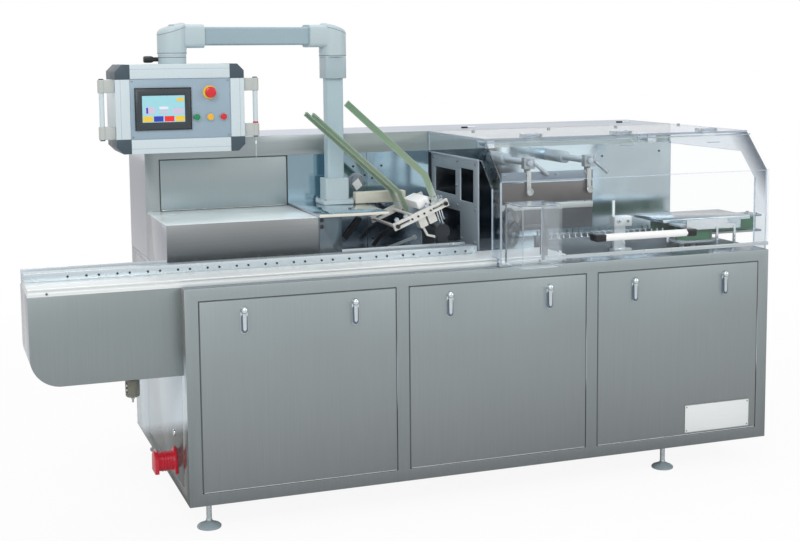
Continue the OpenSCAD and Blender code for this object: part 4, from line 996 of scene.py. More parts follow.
def lift_latch():
    """One lift latch: a stadium plate with a dish, a lever and a round head."""
    chrome = FINISHES["latch_chrome"]
    shape = Shape()
    shape.prism(stadium(26, 94, 0), FRONT * 5 * MM, chrome, rounding=1.2)
    shape.prism(stadium(23, 66, -26), FRONT * 7.5 * MM, SOCKET_DARK, rounding=1.5)
    lever = [(-7, -14), (7, -14), (5.6, -78), (0, -84), (-5.6, -78)]
    start = FRONT * 6 * MM
    shape.prism([Vector((x * MM, 0, z * MM)) + start for x, z in lever], FRONT * 6 * MM, chrome,
                rounding=2.0)
    dome = [(0, 0), (13, 0), (13, 8), (12.4, 12), (10.6, 16.5), (7.4, 19.8), (3.8, 21.5), (0, 22)]
    shape.turned(dome, Vector((0, 0, -13 * MM)), FRONT, chrome, 28)
    hole = [(0, 0), (3.2, 0), (3.2, 8.2), (0, 8.2)]
    shape.turned(hole, Vector((0, 0, -86.5 * MM)), FRONT, SOCKET_DARK, 14)
    return shape


def panel_latches():
    """Two latches on each of the three front and three rear panels."""
    low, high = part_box("panel_latches")
    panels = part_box("front_panels")
    half_width, rise, panel_width = 13 * MM, 22 * MM, 697.3 * MM
    inset = low.x + half_width - panels[0].x
    pitch = (panels[1].x - panels[0].x - panel_width) / 2
    places = [(Vector((panels[0].x + n * pitch + x, face, high.z)), facing)
              for face, facing in ((low.y + rise, FRONT), (high.y - rise, BACK))
              for n in range(3) for x in (inset, panel_width - inset)]
    upright = Matrix.Rotation(math.radians(-90), 4, "X")
    # The latch's dish takes the darker recess finish, a painted shade
    fittings("panel_latches_detailed", lift_latch(), places,
             (FINISHES["latch_chrome"], LATCH_DISH_SHADE), ("panel_latches",), upright)


def levelling_feet():
    """Threaded feet with a lock nut, a hinge nut and a domed pad."""
    boxes = loose_boxes("levelling_feet")
    size = boxes[0][1] - boxes[0][0]
    tall, wide = size.z / MM, size.x / MM / 2
    under = CORNER.z / MM
    thread, groove, pitch, thread_foot = 9.6, 0.5, 1.5, 31
    steel = FINISHES["machined_steel"]
    ridges = [(thread - groove * (k % 2), thread_foot + pitch * k)
              for k in range(int((tall - thread_foot - 1) / pitch))]
    foot = Shape()
    foot.turned([(0, 0), (wide - 1, 0), (wide, 1.5), (wide, 6), (wide * 0.9, 10),
                 (wide * 0.5, 17), (wide * 0.36, 21), (0, 21)], Vector(), UP, FOOT_GREY, 40)
    foot.turned([(0, 20), (10, 20), (11, 22), (11, 29), (10, 31), (0, 31)], Vector(), UP, steel, 6)
    stem = [(0, 30), (thread, 30)] + ridges + [(8.4, tall), (0, tall)]
    foot.turned(stem, Vector(), UP, steel, 20)
    foot.turned([(0, under - 13), (12, under - 13), (14, under - 11), (14, under - 1),
                 (13, under), (0, under)], Vector(), UP, steel, 6)
    places = [(Vector(((low.x + high.x) / 2, (low.y + high.y) / 2, low.z)), UP)
              for low, high in boxes]
    fittings("levelling_feet_detailed", foot, places, (FOOT_GREY, steel),
             ("levelling_feet",))


def panel_sills():
    """Bright strips under the front panels, a painted highlight of their lower edges, and grey
    seals in their other gaps.
    """
    near, far, end = 0.2 * MM, 2.2 * MM, 1 * MM
    shape = Shape()
    for low, high in loose_boxes("front_panels"):
        front, sunk, back = (low.y + depth * MM for depth in (0.4, 1.6, 4.0))
        # Painted highlight: a bright strip along each panel's lower edge
        shape.block(Vector((low.x + end, front, low.z - far)),
                    Vector((high.x - end, back, low.z - near)), SILL_HIGHLIGHT, 0.5)
        for x0, z0, x1, z1 in ((low.x - far, high.z + near, high.x + far, high.z + far),
                               (low.x - far, low.z, low.x - near, high.z),
                               (high.x + near, low.z, high.x + far, high.z)):
            shape.block(Vector((x0, sunk, z0)), Vector((x1, back, z1)), SEAL_GREY, 0.5)
    shape.piece("panel_sills", "machine", "cabinet_steel")


def blank_plate():
    """Bare plate on the right front panel, held by four rivets."""
    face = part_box("front_panels")[0].y
    thickness, rim_rise, rim_width, inset = 1.2 * MM, 1.9 * MM, 2.5 * MM, 9 * MM
    low, high = spot(1930, 0, 152), spot(2222, 0, 262)
    low.y, high.y = face - thickness, face
    rim_low = Vector((low.x, face - rim_rise, low.z))
    shape = Shape()
    shape.block(low, high, FINISHES["deck_aluminium"], 0.5)
    shape.rim(rim_low, high, rim_width, FINISHES["zinc_steel"], 0.5)
    shape.piece("blank_plate", "machine", "deck_aluminium")
    screws("blank_plate_rivets", corner_places(low, high, face - thickness, inset), 6, 1.6)


def end_panel_locks():
    """Quarter-turn locks on both end panels."""
    low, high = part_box("side_panels")
    chrome = FINISHES["latch_chrome"]
    lock = Shape()
    lock.turned([(0, 0), (13, 0), (13, 2), (11.5, 4), (8, 4.6), (0, 4.6)], Vector(), UP, chrome)
    lock.block(Vector((-1.6, -6, 4)) * MM, Vector((1.6, 6, 4.8)) * MM, SOCKET_DARK, 0.2)
    across, heights = spot(0, 256, 0).y, (0.295, 0.62)
    places = [(Vector((x, across, z)), facing)
              for x, facing in ((low.x, LEFT), (high.x, RIGHT)) for z in heights]
    fittings("end_panel_locks", lock, places, (chrome, SOCKET_DARK))


panel_latches()
levelling_feet()
panel_sills()
blank_plate()
end_panel_locks()


# Infeed

softened("infeed_housing", 2.0, finish=HOUSING_STEEL, others=[(faces_an_end, SIDE_STEEL)])
softened("infeed_deck", 1.0)
softened("infeed_guides", 0.8, finish=GUIDE_STEEL)
softened("bucket_dividers", 0.8)


def guide_screws():
    """Black screws in pairs along the front guide, and two in the deck's lip."""
    first, pitch, pair, end = -356, 103.6, 62, 1110
    guide_height, lip_height = 889, 859
    runs = [first + pitch * k + step for k in range(15) for step in (0, pair)]
    places = front_places(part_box("infeed_guides")[0].y,
                          [(x, guide_height) for x in runs if x < end])
    screws("guide_screws", places, 8, 3, black=True)
    places = front_places(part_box("infeed_deck")[0].y, [(x, lip_height) for x in (-439, 1330)])
    screws("deck_lip_screws", places, 10, 3)


def chain_rows():
    """Roller chain: two rows under the buckets, one beside the carton track."""
    low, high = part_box("infeed_chain")
    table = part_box("base_cabinet")[1].z
    pitch, row_inset = 25.4, 9 * MM
    steel = FINISHES["machined_steel"]
    link = Shape()
    for y in (-5, 3):
        link.block(Vector((-11, y, 0)) * MM, Vector((11, y + 2, 7)) * MM, steel, 0.6, 1)
    link.rod(Vector((0, -6.5, 3.5)) * MM, Vector((0, 6.5, 3.5)) * MM, 2.6, steel, 10)
    places = [(Vector((low.x + (n + 0.5) * pitch * MM, y, high.z)), UP)
              for n in range(int((high.x - low.x) / (pitch * MM)))
              for y in (low.y + row_inset, high.y - row_inset)]
    places += [(spot(1365 + pitch * n, 105, 0) + UP * table, UP) for n in range(24)]
    fittings("roller_chain_links", link, places, (steel, SOCKET_DARK))


def air_filter():
    """Filter bowl under a head, with sight slots and a drain."""
    low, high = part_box("air_filter")
    top = Vector(((low.x + high.x) / 2, (low.y + high.y) / 2, high.z))
    olive = FINISHES["filter_grey"]
    shape = Shape()
    shape.turned([(0, 0), (15, 0), (15, 5), (21, 6), (22.6, 8), (22.6, 30), (21, 33), (0, 33)],
                 top, DOWN, olive)
    shape.turned([(0, 33), (24, 33), (25, 34.5), (25, 80), (24.4, 81), (24.4, 83), (25, 84),
                  (24, 91), (19, 95), (8, 96), (0, 96)], top, DOWN, olive)
    shape.turned([(0, 95), (6, 95), (6, 103), (3.4, 105), (3.4, 115), (0, 116)], top, DOWN,
                 FINISHES["zinc_steel"], 16)
    turn = math.radians(-150)
    way = Vector((math.cos(turn), math.sin(turn), 0))
    half, depth, first, pitch = Vector((3, 3, 3.6)) * MM, 23.4 * MM, 44, 8
    for k in range(5):
        slot = top + way * depth + DOWN * (first + pitch * k) * MM
        shape.block(slot - half, slot + half,
                    FINISHES["white_plastic"] if k % 2 else KNOB_BLACK, 0.6)
    shape.piece("air_filter_detailed", "machine", "filter_grey", "air_filter")


def power_inlet():
    """Hinge pin, cap ribs and flange screws of the appliance inlet."""
    low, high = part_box("power_inlet")
    middle = (low + high) / 2
    red, zinc = FINISHES["inlet_red"], FINISHES["zinc_steel"]
    softened("power_inlet", 2.0, 3)
    shape = Shape()
    pin, half_pin = Vector((low.x + 7 * MM, middle.y, high.z - 5 * MM)), BACK * 15 * MM
    shape.rod(pin - half_pin, pin + half_pin, 3.6, zinc)
    centre = Vector((high.x, middle.y, low.z + 40 * MM))
    for rib in (16, 26, 36, 46):
        shape.turned([(0, rib), (35.4, rib), (36, rib + 1.5), (35.4, rib + 4), (0, rib + 4)],
                     centre, LEFT, red, 40)
    shape.turned([(0, 77), (22, 77), (20, 78.2), (0, 78.2)], centre, LEFT, red)
    shape.piece("power_inlet_fittings", "machine", "inlet_red")
    flange = high.x - 8 * MM
    places = [(Vector((flange, middle.y + y * MM, centre.z + z * MM)), LEFT)
              for y in (-33, 33) for z in (-33, 12)]
    screws("power_inlet_screws", places, 7, 3)


guide_screws()
chain_rows()
air_filter()
power_inlet()


# Pendant

PEDESTAL_PLATE = 13 * MM


def is_plate_edge(mesh, face):
    """True of the pedestal's top plate."""
    return face.center.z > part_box("pedestal")[1].z - PEDESTAL_PLATE


softened("pedestal", 1.2, finish=PEDESTAL_STEEL,
         others=[(is_plate_edge, PLATE_EDGE), (faces_up, MIRROR_STEEL), (faces_an_end, SIDE_STEEL)])
softened("post_foot", 2.0, 3)
softened("post_collar", 3.0, 3, finish=COLLAR_GREY)


def rounded_outline(width, height, radius, steps=6):
    """Points round a rectangle with round corners, across and up, in mm."""
    points = []
    for turn, (across, up) in enumerate(((1, 1), (-1, 1), (-1, -1), (1, -1))):
        for k in range(steps + 1):
            angle = math.pi / 2 * (turn + k / steps)
            points.append((across * (width / 2 - radius) + radius * math.cos(angle),
                           up * (height / 2 - radius) + radius * math.sin(angle)))
    return points


ARM_TURN = math.radians(11.4)
POST_CENTRE = sum(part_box("post_foot"), Vector()) / 2


def arm_line(x):
    """Place across the machine of the arm's middle line, at a place along it."""
    return POST_CENTRE.y + (x - POST_CENTRE.x) * math.tan(ARM_TURN)


def elbow_casting(node, away):
    """Turret with a sloped, round-rimmed cap and a flat socket for the arm tube."""
    box_low, box_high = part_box(node)
    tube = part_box("arm_tube")
    heading = Vector((math.cos(ARM_TURN), math.sin(ARM_TURN), 0)) * away
    side = UP.cross(heading)
    radius, rim, slope, steps = 53.0, 15.0, math.tan(math.radians(17)), 56
    socket_width, socket_height, socket_corner, socket_reach = 73, 86, 17, 62
    edge = box_low if away > 0 else box_high
    foot = Vector((edge.x + away * radius * MM, 0, 0))
    foot.y = arm_line(foot.x)
    top = box_high.z / MM
    finish = FINISHES["pendant_cast"]

    def cap(r, angle, drop=0.0):
        along = r * math.cos(angle)
        inset = max(0.0, r - (radius - rim))
        fall = rim - math.sqrt(max(0.0, rim * rim - inset * inset))
        z = top - max(0.0, 0.75 * radius - along) * slope - fall - drop
        return foot + (heading * along + side * r * math.sin(angle)) * MM + UP * z * MM

    turns = [2 * math.pi * k / steps for k in range(steps)]
    inner = radius - rim
    radii = [1, 12, 26, inner] + [inner + rim * math.sin(math.pi / 2 * k / 7) for k in range(1, 8)]
    rows = [[cap(r, a) for a in turns] for r in radii]
    rows.append([Vector((point.x, point.y, box_low.z)) for point in rows[-1]])
    shape = Shape()
    shape.take(skin(rows), finish)
    proud = 0.25 * MM
    seam = [[cap(radius, a, drop) + (heading * math.cos(a) + side * math.sin(a)) * proud
             for a in turns] for drop in (1.0, 2.2)]
    shape.take(skin(seam), SOCKET_DARK)
    level = (tube[0].z + tube[1].z) / 2
    outline = [foot + side * u * MM + UP * (level + v * MM)
               for u, v in rounded_outline(socket_width, socket_height, socket_corner)]
    shape.prism(outline, heading * (radius + socket_reach) * MM, finish, 2.5, 3)
    joint = Vector((foot.x, foot.y, box_low.z + 4 * MM))
    shape.turned([(0, 0), (radius + 0.1, 0), (radius + 0.3, 0.4), (radius + 0.3, 1.2),
                  (radius + 0.1, 1.6), (0, 1.6)], joint, UP, SOCKET_DARK, 48)
    shape.piece(node + "_cast", body_of(node), NODE_SLOT[node], node)


elbow_casting("post_elbow", -1)
elbow_casting("drop_elbow", 1)


def post_screws():
    """Screws in the post's flange, and two in the pedestal's front."""
    low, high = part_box("post_foot")
    middle = (low + high) / 2
    flange, reach = low.z + 16 * MM, 54 * MM
    places = [(Vector((middle.x + x, middle.y + y, flange)), UP)
              for x in (-reach, reach) for y in (-reach, reach)]
    screws("post_flange_screws", places, 11, 6)
    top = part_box("infeed_cover")[1]
    front = max(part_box("pedestal")[0].y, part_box("infeed_cover")[0].y) + 1 * MM
    places = [(Vector((top.x + 12 * MM, front, top.z - drop * MM)), FRONT) for drop in (12, 36)]
    screws("pedestal_screws", places, 13, 5, black=True)


def neck_knob():
    """Clamp knob on the box's neck, and the dark joint line above it."""
    low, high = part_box("box_neck")
    radius, joint_height, knob_height = 51, 1.617, 1.611
    middle = Vector((high.x - radius * MM, (low.y + high.y) / 2, 0))
    line = radius + 0.3
    shape = Shape()
    shape.turned([(0, 0), (line, 0), (line, 1.4), (0, 1.4)], middle + UP * joint_height, UP,
                 SOCKET_DARK, 48)
    knob = Vector((low.x + 33 * MM, middle.y, knob_height))
    shape.turned([(0, -18), (8, -18), (8, -2), (11, 2), (12.4, 8), (12.4, 24), (11.6, 32.6),
                  (9, 34.4), (0, 34.6)], knob, LEFT, KNOB_BLACK)
    shape.piece("neck_clamp_knob", "control_box", "panel_black")


post_screws()
neck_knob()


# Control box

softened("box_body", 7.0, 4)
softened("box_corners", 4.0, 3)
softened("box_face", 0.6)
softened("touch_panel", 2.0, 3)


def touch_screen():
    """Lit display with plain coloured fields, in a black rim."""
    low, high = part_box("touch_panel")
    left, right = low.x + 26 * MM, high.x - 24 * MM
    top, bottom = high.z - 28 * MM, low.z + 28 * MM
    thickness = 0.6
    shape = Shape()

    def field(u0, v0, u1, v1, colour, depth):
        start = Vector((left + u0 * (right - left), low.y + depth * MM, top - v1 * (top - bottom)))
        stop = Vector((left + u1 * (right - left), low.y + (depth + thickness) * MM,
                       top - v0 * (top - bottom)))
        shape.block(start, stop, SCREEN_COLOURS[colour], 0.25, 1)

    field(0, 0, 1, 1, "cyan", 1.3)
    for u0, v0, u1, v1, colour in (
            (0.01, 0.77, 0.245, 0.975, "yellow"), (0.265, 0.77, 0.487, 0.975, "blue"),
            (0.516, 0.77, 0.744, 0.975, "red"), (0.776, 0.77, 0.99, 0.975, "yellow"),
            (0.40, 0.41, 0.61, 0.51, "white"), (0.40, 0.565, 0.61, 0.67, "lilac"),
            (0.705, 0.49, 0.965, 0.69, "lilac"), (0.067, 0.425, 0.29, 0.68, "lilac"),
            (0.81, 0.093, 0.985, 0.215, "yellow")):
        field(u0, v0, u1, v1, colour, 1.0)
    field(0.09, 0.445, 0.135, 0.665, "blue", 0.8)
    rim_low = Vector((low.x, low.y - 0.8 * MM, low.z))
    rim_high = Vector((high.x, low.y + 2 * MM, high.z))
    shape.rim(rim_low, rim_high, 4 * MM, KNOB_BLACK, 0.8)
    shape.piece("touch_screen", "control_box", "panel_black")


def frame_lines():
    """Fine grooves along the four bars of the box's frame."""
    low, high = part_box("box_body")
    middle = (low + high) / 2
    corners = loose_boxes("box_corners")
    left = max(c[1].x for c in corners if c[1].x < middle.x)
    right = min(c[0].x for c in corners if c[0].x > middle.x)
    under = max(c[1].z for c in corners if c[1].z < middle.z)
    over = min(c[0].z for c in corners if c[0].z > middle.z)
    inset, width = 17 * MM, 1.6 * MM
    front, back = low.y - 0.15 * MM, low.y + 1 * MM
    shape = Shape()
    for z in (low.z + inset, high.z - inset):
        shape.block(Vector((left, front, z)), Vector((right, back, z + width)), GROOVE_GREY, 0.3)
    for x in (low.x + inset, high.x - inset):
        shape.block(Vector((x, front, under)), Vector((x + width, back, over)), GROOVE_GREY, 0.3)
    shape.piece("frame_lines", "control_box", "box_white")


def emergency_stop():
    """Red mushroom head on a yellow collar."""
    low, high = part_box("emergency_stop")
    foot = Vector(((low.x + high.x) / 2, high.y, (low.z + high.z) / 2))
    shape = Shape()
    shape.turned([(0, 0), (24, 0), (24, 1.6), (23, 3), (19, 3.6), (17.4, 9), (14.4, 10),
                  (14, 16), (0, 16)], foot, FRONT, RING_YELLOW, 40)
    shape.turned([(0, 13), (15, 13), (18.4, 14), (20, 16.6), (20, 24), (18.8, 27.4), (15, 29.3),
                  (8, 29.9), (0, 30)], foot, FRONT, FINISHES["stop_red"], 40)
    shape.piece("emergency_stop_detailed", "control_box", "stop_red", "emergency_stop")


def push_buttons():
    """Three coloured caps in bright rings."""
    low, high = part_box("push_buttons")
    radius = 14.5
    centres = (low.x + radius * MM, (low.x + high.x) / 2, high.x - radius * MM)
    bezel = [(0, 0), (radius, 0), (radius, 2), (13.9, 6.4), (13.2, 7.6), (12.4, 7.6), (12.1, 5.5),
             (0, 5.5)]
    cap = [(0, 5), (11.8, 5), (11.8, 9.4), (10.8, 11.3), (7, 11.9), (0, 12)]
    shape = Shape()
    for x, colour in zip(centres, ("green", "yellow", "red")):
        foot = Vector((x, high.y, (low.z + high.z) / 2))
        shape.turned(bezel, foot, FRONT, FINISHES["button_metal"])
        shape.turned(cap, foot, FRONT, CAP_COLOURS[colour])
    shape.piece("push_buttons_detailed", "control_box", "button_metal", "push_buttons")


def box_handles():
    """Tubes in moulded clips at both sides, with a stylus under the right one."""
    low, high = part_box("box_handles")
    middle = (low.y + high.y) / 2
    clip, clip_reach, clip_inset, end = 46 * MM, 58 * MM, 4 * MM, 2 * MM
    clip_radius, tube_radius = 13, 9
    shape = Shape()

    def upright(x, bottom, top, *rest):
        shape.rod(Vector((x, middle, bottom)), Vector((x, middle, top)), *rest)

    for outer, side in ((low.x, RIGHT), (high.x, LEFT)):
        axis = outer + side.x * clip_radius * MM
        inner, outermost = sorted((axis, outer + side.x * clip_reach))
        for z in (low.z, high.z - clip):
            shape.block(Vector((inner, low.y + clip_inset, z)),
                        Vector((outermost, high.y - clip_inset, z + clip)), CLIP_GREY, 3.0, 3)
            upright(axis, z, z + clip, clip_radius, CLIP_GREY, 32, 2.0)
        upright(axis, low.z + end, high.z - end, tube_radius, FINISHES["box_white"])
        for z, way in ((low.z, DOWN), (high.z, UP)):
            shape.turned([(0, -1), (9.4, -1), (9.4, 2), (7.5, 4), (0, 4.4)],
                         Vector((axis, middle, z)), way, FINISHES["corner_slate"])
    right = high.x - clip_radius * MM
    band = low.z + clip
    upright(right, band, band + 6 * MM, 9.8, CAP_COLOURS["red"])
    shape.piece("box_handles_detailed", "control_box", "box_white", "box_handles")
    stylus = Shape()
    foot = Vector((right, middle, low.z - 4 * MM))
    stylus.wire([foot + DOWN * reach * MM for reach in (0, 22, 70)], 1.9,
                FINISHES["machined_steel"])
    stylus.turned([(0, 14), (2.6, 15), (3, 20), (2.6, 26), (0, 27)], foot, DOWN,
                  FINISHES["white_plastic"], 16)
    stylus.turned([(0, 68), (2.2, 69), (2.2, 76), (0, 79)], foot, DOWN, FINISHES["zinc_steel"], 16)
    stylus.piece("panel_stylus", "control_box", "zinc_steel")


def face_screws():
    """Screws at the corners of the control face."""
    low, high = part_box("box_face")
    screws("face_plate_screws", corner_places(low, high, low.y, 9 * MM), 6, 2, body="control_box")


touch_screen()
frame_lines()
emergency_stop()
push_buttons()
box_handles()
face_screws()


# Carton magazine and feed

softened("magazine_arm", 2.0)
softened("carton_follower", 3.0, 3)
softened("feeder_bulkhead", 0.8)
MOUTH_SLOPE = math.radians(22)
MOUTH_X, MOUTH_Z = 964, 1019


def mouth(u, y, v):
    """Point along, through and above the sloped mouth of the magazine, in mm."""
    x = MOUTH_X + u * math.cos(MOUTH_SLOPE) - v * math.sin(MOUTH_SLOPE)
    z = MOUTH_Z + u * math.sin(MOUTH_SLOPE) + v * math.cos(MOUTH_SLOPE)
    return spot(x, y, z)


def magazine_fittings():
    """Bolts, spring fingers, rollers and knobs round the mouth."""
    bright, dark = FINISHES["latch_chrome"], FINISHES["dark_steel"]
    front = (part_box("magazine_mouth")[0].y - CORNER.y) / MM
    bolts, fingers, rollers = front + 7, front + 16, front + 26
    above, below = (mouth(0, 0, v) - mouth(0, 0, 0) for v in (1, -1))
    shape = Shape()
    for u in (-96, -58, 34, 58, 92):
        top = 22 + abs(u) % 7
        outline = [mouth(u + across, front + 2, v)
                   for across, v in ((-8, 14), (8, 14), (8, top), (-8, top))]
        shape.prism(outline, BACK * 10 * MM, FINISHES["machined_steel"], 0.6)
        shape.turned([(0, 0), (4, 0), (4, 3), (2.5, 4.4), (0, 4.6)], mouth(u, bolts, top), above,
                     dark, 16)
    for u in (68, 80, 92, 104):
        top = 44 - (u - 68) * 0.5
        shape.rod(mouth(u, fingers, 16), mouth(u, fingers, top), 2.4, bright, 12)
        shape.turned([(0, 0), (5, 0), (5.6, 3), (4, 7), (0, 8)], mouth(u, fingers, top - 2), above,
                     dark, 16)
    for u in (-104.16, 104.16):
        shape.turned([(0, 0), (7, 0), (8, 2), (8, 12), (6.5, 14), (0, 14)], mouth(u, front, 0),
                     FRONT, KNOB_BLACK, 20)
    for u, drop in ((70, -60), (80, -70), (90, -54)):
        end = mouth(u - 4, rollers, drop)
        shape.rod(mouth(u, rollers, -14), end, 3.2, bright, 12)
        shape.turned([(0, 0), (5, 0), (5, 5), (3, 8), (0, 8)], end, below, dark, 14)
    shape.piece("magazine_fittings", "machine", "machined_steel")
    places = [(mouth(u, front, 0), FRONT) for u in (-40, -14, 12, 40)]
    screws("mouth_bar_screws", places, 8, 4, black=True)


def bulkhead_bolts():
    """Bolts on the bulkhead's face towards the magazine."""
    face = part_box("feeder_bulkhead")[0].x
    spots = [(268, 1032), (268, 1205), (445, 1032), (445, 1205), (455, 1110), (700, 1032),
             (700, 1205), (275, 905), (405, 905)]
    places = [(Vector((face, spot(0, y, 0).y, z * MM)), LEFT) for y, z in spots]
    screws("bulkhead_bolts", places, 11, 5)


def wall_fittings():
    """Bearing flange and loose bolts on the polished wall."""
    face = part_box("polished_wall")[0].y
    centre = Vector((spot(844, 0, 0).x, face, 1.115))
    bolt_circle, flange, hub = 27 * MM, FRONT * 7 * MM, FRONT * 15 * MM
    shape = Shape()
    shape.turned([(0, 0), (34, 0), (34, 5), (32, 7), (24, 8), (22, 16), (0, 16)], centre, FRONT,
                 FINISHES["dark_steel"], 40)
    corners = [Vector((x, 0, z)) * MM for x, z in ((-23, -9), (-4, -36), (20, -16), (3, 13))]
    shape.prism([centre + hub + corner for corner in corners], FRONT * 5 * MM,
                FINISHES["white_plastic"], 1.0)
    shape.piece("wall_bearing_flange", "machine", "dark_steel")
    turns = [math.radians(45 + 90 * k) for k in range(4)]
    places = [(centre + Vector((math.cos(a), 0, math.sin(a))) * bolt_circle + flange, FRONT)
              for a in turns]
    screws("flange_screws", places, 8, 4)
    spots = [(832, 1175), (881, 1138), (912, 1125), (953, 1123), (952, 1174), (913, 1054),
             (877, 1072), (913, 879), (1959, 1177), (2240, 1190), (2240, 900)]
    screws("wall_bolts", front_places(face, spots), 9, 4, black=True)


def flat_bar(shape, start, end, half_width, thickness, finish):
    """Flat bar between two points of a plane that faces the front, sizes in mm."""
    across = (end - start).cross(BACK).normalized() * half_width * MM
    shape.prism([start + across, end + across, end - across, start - across],
                BACK * thickness * MM, finish, 1.0)


def feeder_linkage():
    """Black links low on the polished wall, and the lever in front of them."""
    links = Shape()
    for start, end, width in ((spot(789, 712, 886), spot(850, 712, 959), 11),
                              (spot(885, 640, 861), spot(916, 640, 901), 8),
                              (spot(916, 640, 901), spot(960, 640, 928), 8)):
        flat_bar(links, start, end, width, 8, SCREW_BLACK)
        links.turned([(0, -2), (width, -2), (width, 9), (0, 9)], end, BACK, SCREW_BLACK, 24)
    links.piece("feeder_links", "machine", "dark_steel")
    steel = FINISHES["machined_steel"]
    lever = Shape()
    start, end = spot(831, 420, 871), spot(979, 420, 918)
    flat_bar(lever, start, end, 5, 6, steel)
    for point in (start, end):
        lever.turned([(0, -3), (8, -3), (9, -2), (9, 8), (8, 9), (0, 9)], point, BACK, steel, 24)
    lever.piece("feeder_lever", "machine", "machined_steel")


magazine_fittings()
bulkhead_bolts()
wall_fittings()
feeder_linkage()


# Closing section and outfeed

LOW_PLATE_TOP, LOW_BAR_LEVEL = spot(0, 0, 1012).z, spot(0, 0, 1032).z
LOW_BAR_HALF = 17 * MM
HIGH_BAR_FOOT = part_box("guide_plates")[1].z - 62 * MM


def is_low_bar(mesh, face):
    """True of the bar between the lower and the upper guide plate."""
    return abs(face.center.z - LOW_BAR_LEVEL) < LOW_BAR_HALF


def is_high_bar(mesh, face):
    """True of the bar along the top of the guide plates."""
    return face.center.z > HIGH_BAR_FOOT


def is_low_plate(mesh, face):
    """True of the lower guide plate."""
    return face.center.z < LOW_PLATE_TOP


softened("guide_plates", 0.8, others=[(is_low_plate, GREY_PLATE), (is_low_bar, BAR_STEEL),
                                      (is_high_bar, BLUED_STEEL)])
softened("guide_clamps", 1.5, finish=CLAMP_STEEL)
softened("guide_shafts", 1.0, finish=SATIN_STEEL)
softened("carton_track", 1.0, finish=TRACK_STEEL)
softened("bearing_stand", 1.5)
softened("outfeed_plates", 1.0)
softened("outfeed_cover", 2.0, others=[(faces_up, PLATE_TOP)])
softened("outfeed_guard", 1.0)


def carton_lugs():
    """Bright pusher lugs in two rows on the carton track."""
    low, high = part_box("carton_track")
    count, row_inset = 20, 10 * MM
    bright = FINISHES["latch_chrome"]
    lug = Shape()
    lug.block(Vector((-4, -5, 0)) * MM, Vector((4, 5, 4)) * MM, bright, 0.8)
    tooth = [(-3, 4), (3, 4), (2.4, 15), (-0.6, 17)]
    lug.prism([Vector((x, -3, z)) * MM for x, z in tooth], BACK * 6 * MM, bright, 0.5)
    step = (high.x - low.x) / count
    places = [(Vector((low.x + (n + 0.5) * step, y, high.z)), UP)
              for n in range(count) for y in (low.y + row_inset, high.y - row_inset)]
    fittings("carton_track_lugs", lug, places, (bright, SOCKET_DARK))


def clamp_hangers():
    """Flat bars from the clamps down over the guide plates, each with a ring nut."""
    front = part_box("guide_plates")[0].y
    half, thickness, clearance, drop, bottom = 9 * MM, 6 * MM, 0.5 * MM, 30 * MM, 1.078
    nut = [(0, 0), (14, 0), (15, 1.5), (15, 6), (13, 8), (9, 8), (8, 4), (0, 4)]
    shape = Shape()
    for low, high in loose_boxes("guide_shafts"):
        x, top = (low.x + high.x) / 2, (low.z + high.z) / 2 - drop
        shape.block(Vector((x - half, front - thickness, bottom)),
                    Vector((x + half, front - clearance, top)), BAR_STEEL, 1.0)
        shape.turned(nut, Vector((x + 2 * MM, front - thickness, bottom)), FRONT, BAR_STEEL)
    shape.piece("clamp_hangers", "machine", "machined_steel")


def section_screws():
    """Screws of the bearing stand and the guide plates, and bolts on the outfeed plates."""
    low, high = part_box("bearing_stand")
    inset, height = 18 * MM, 0.971
    places = [(Vector((x, low.y, height)), FRONT) for x in (low.x + inset, high.x - inset)]
    places += front_places(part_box("guide_plates")[0].y,
                           [(x, 1143) for x in (1340, 1430, 1560, 1690)])
    screws("closing_section_screws", places, 11, 5)
    low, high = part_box("outfeed_plates")
    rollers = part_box("outfeed_rollers")
    along, across, half_gap = 34 * MM, 44 * MM, 30 * MM
    rear, end = high.y - across, high.x - 20 * MM
    places = [(Vector((x, y, high.z)), UP)
              for x, y in ((rollers[1].x - along, rear), (rollers[0].x + along, low.y + across),
                           (end, rear - half_gap), (end, rear + half_gap))]
    screws("outfeed_plate_bolts", places, 14, 6)


carton_lugs()
clamp_hangers()
section_screws()


# Guard hood

SHEETS = {
    "hood_top": clear_sheet("Clear acrylic, hood top", (0.74, 0.79, 0.87, 1.0), coat=0.35),
    # The end frames' dark corner tint is a painted shade
    "hood_ends": clear_sheet("Clear acrylic, end frames with painted shade", (0.76, 0.81, 0.86, 1.0),
                             corner=(0.12, 0.14, 0.18, 1.0)),
    "guard_lid": FINISHES["clear_sheet"],
    "lid_bay": clear_sheet("Clear acrylic, lid bay", (0.9, 0.93, 0.95, 1.0), milk=0.06),
}
for sheet, finish in SHEETS.items():
    softened(sheet, 0.8, finish=finish, others=[(is_narrow, ACRYLIC_RIM)], flat=True)


def lid_fittings():
    """Handle with black ends, and the channel along the lid's lower edge."""
    low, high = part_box("lid_handle")
    end, overlap = 44 * MM, 6 * MM
    axis_y, axis_z = low.y + 14 * MM, (low.z + high.z) / 2
    shape = Shape()
    shape.rod(Vector((low.x + end - overlap, axis_y, axis_z)),
              Vector((high.x - end + overlap, axis_y, axis_z)), 13.4,
              FINISHES["white_plastic"], 36)
    for x in (low.x, high.x - end):
        shape.block(Vector((x, low.y, low.z)), Vector((x + end, high.y, high.z)),
                    KNOB_BLACK, 6.0, 4)
    shape.piece("lid_handle_detailed", "hood_lid", "white_plastic", "lid_handle")
    low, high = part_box("guard_lid")
    start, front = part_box("lid_bay")[1].x + 4 * MM, spot(0, 5, 0).y
    wall, gap, height = 1.6 * MM, 8 * MM, 13 * MM
    channel = Shape()
    for y in (front - wall, front + gap):
        channel.block(Vector((start, y, low.z)), Vector((high.x, y + wall, low.z + height)),
                      FINISHES["machined_steel"], 0.5)
    channel.piece("lid_edge_channel", "hood_lid", "machined_steel")


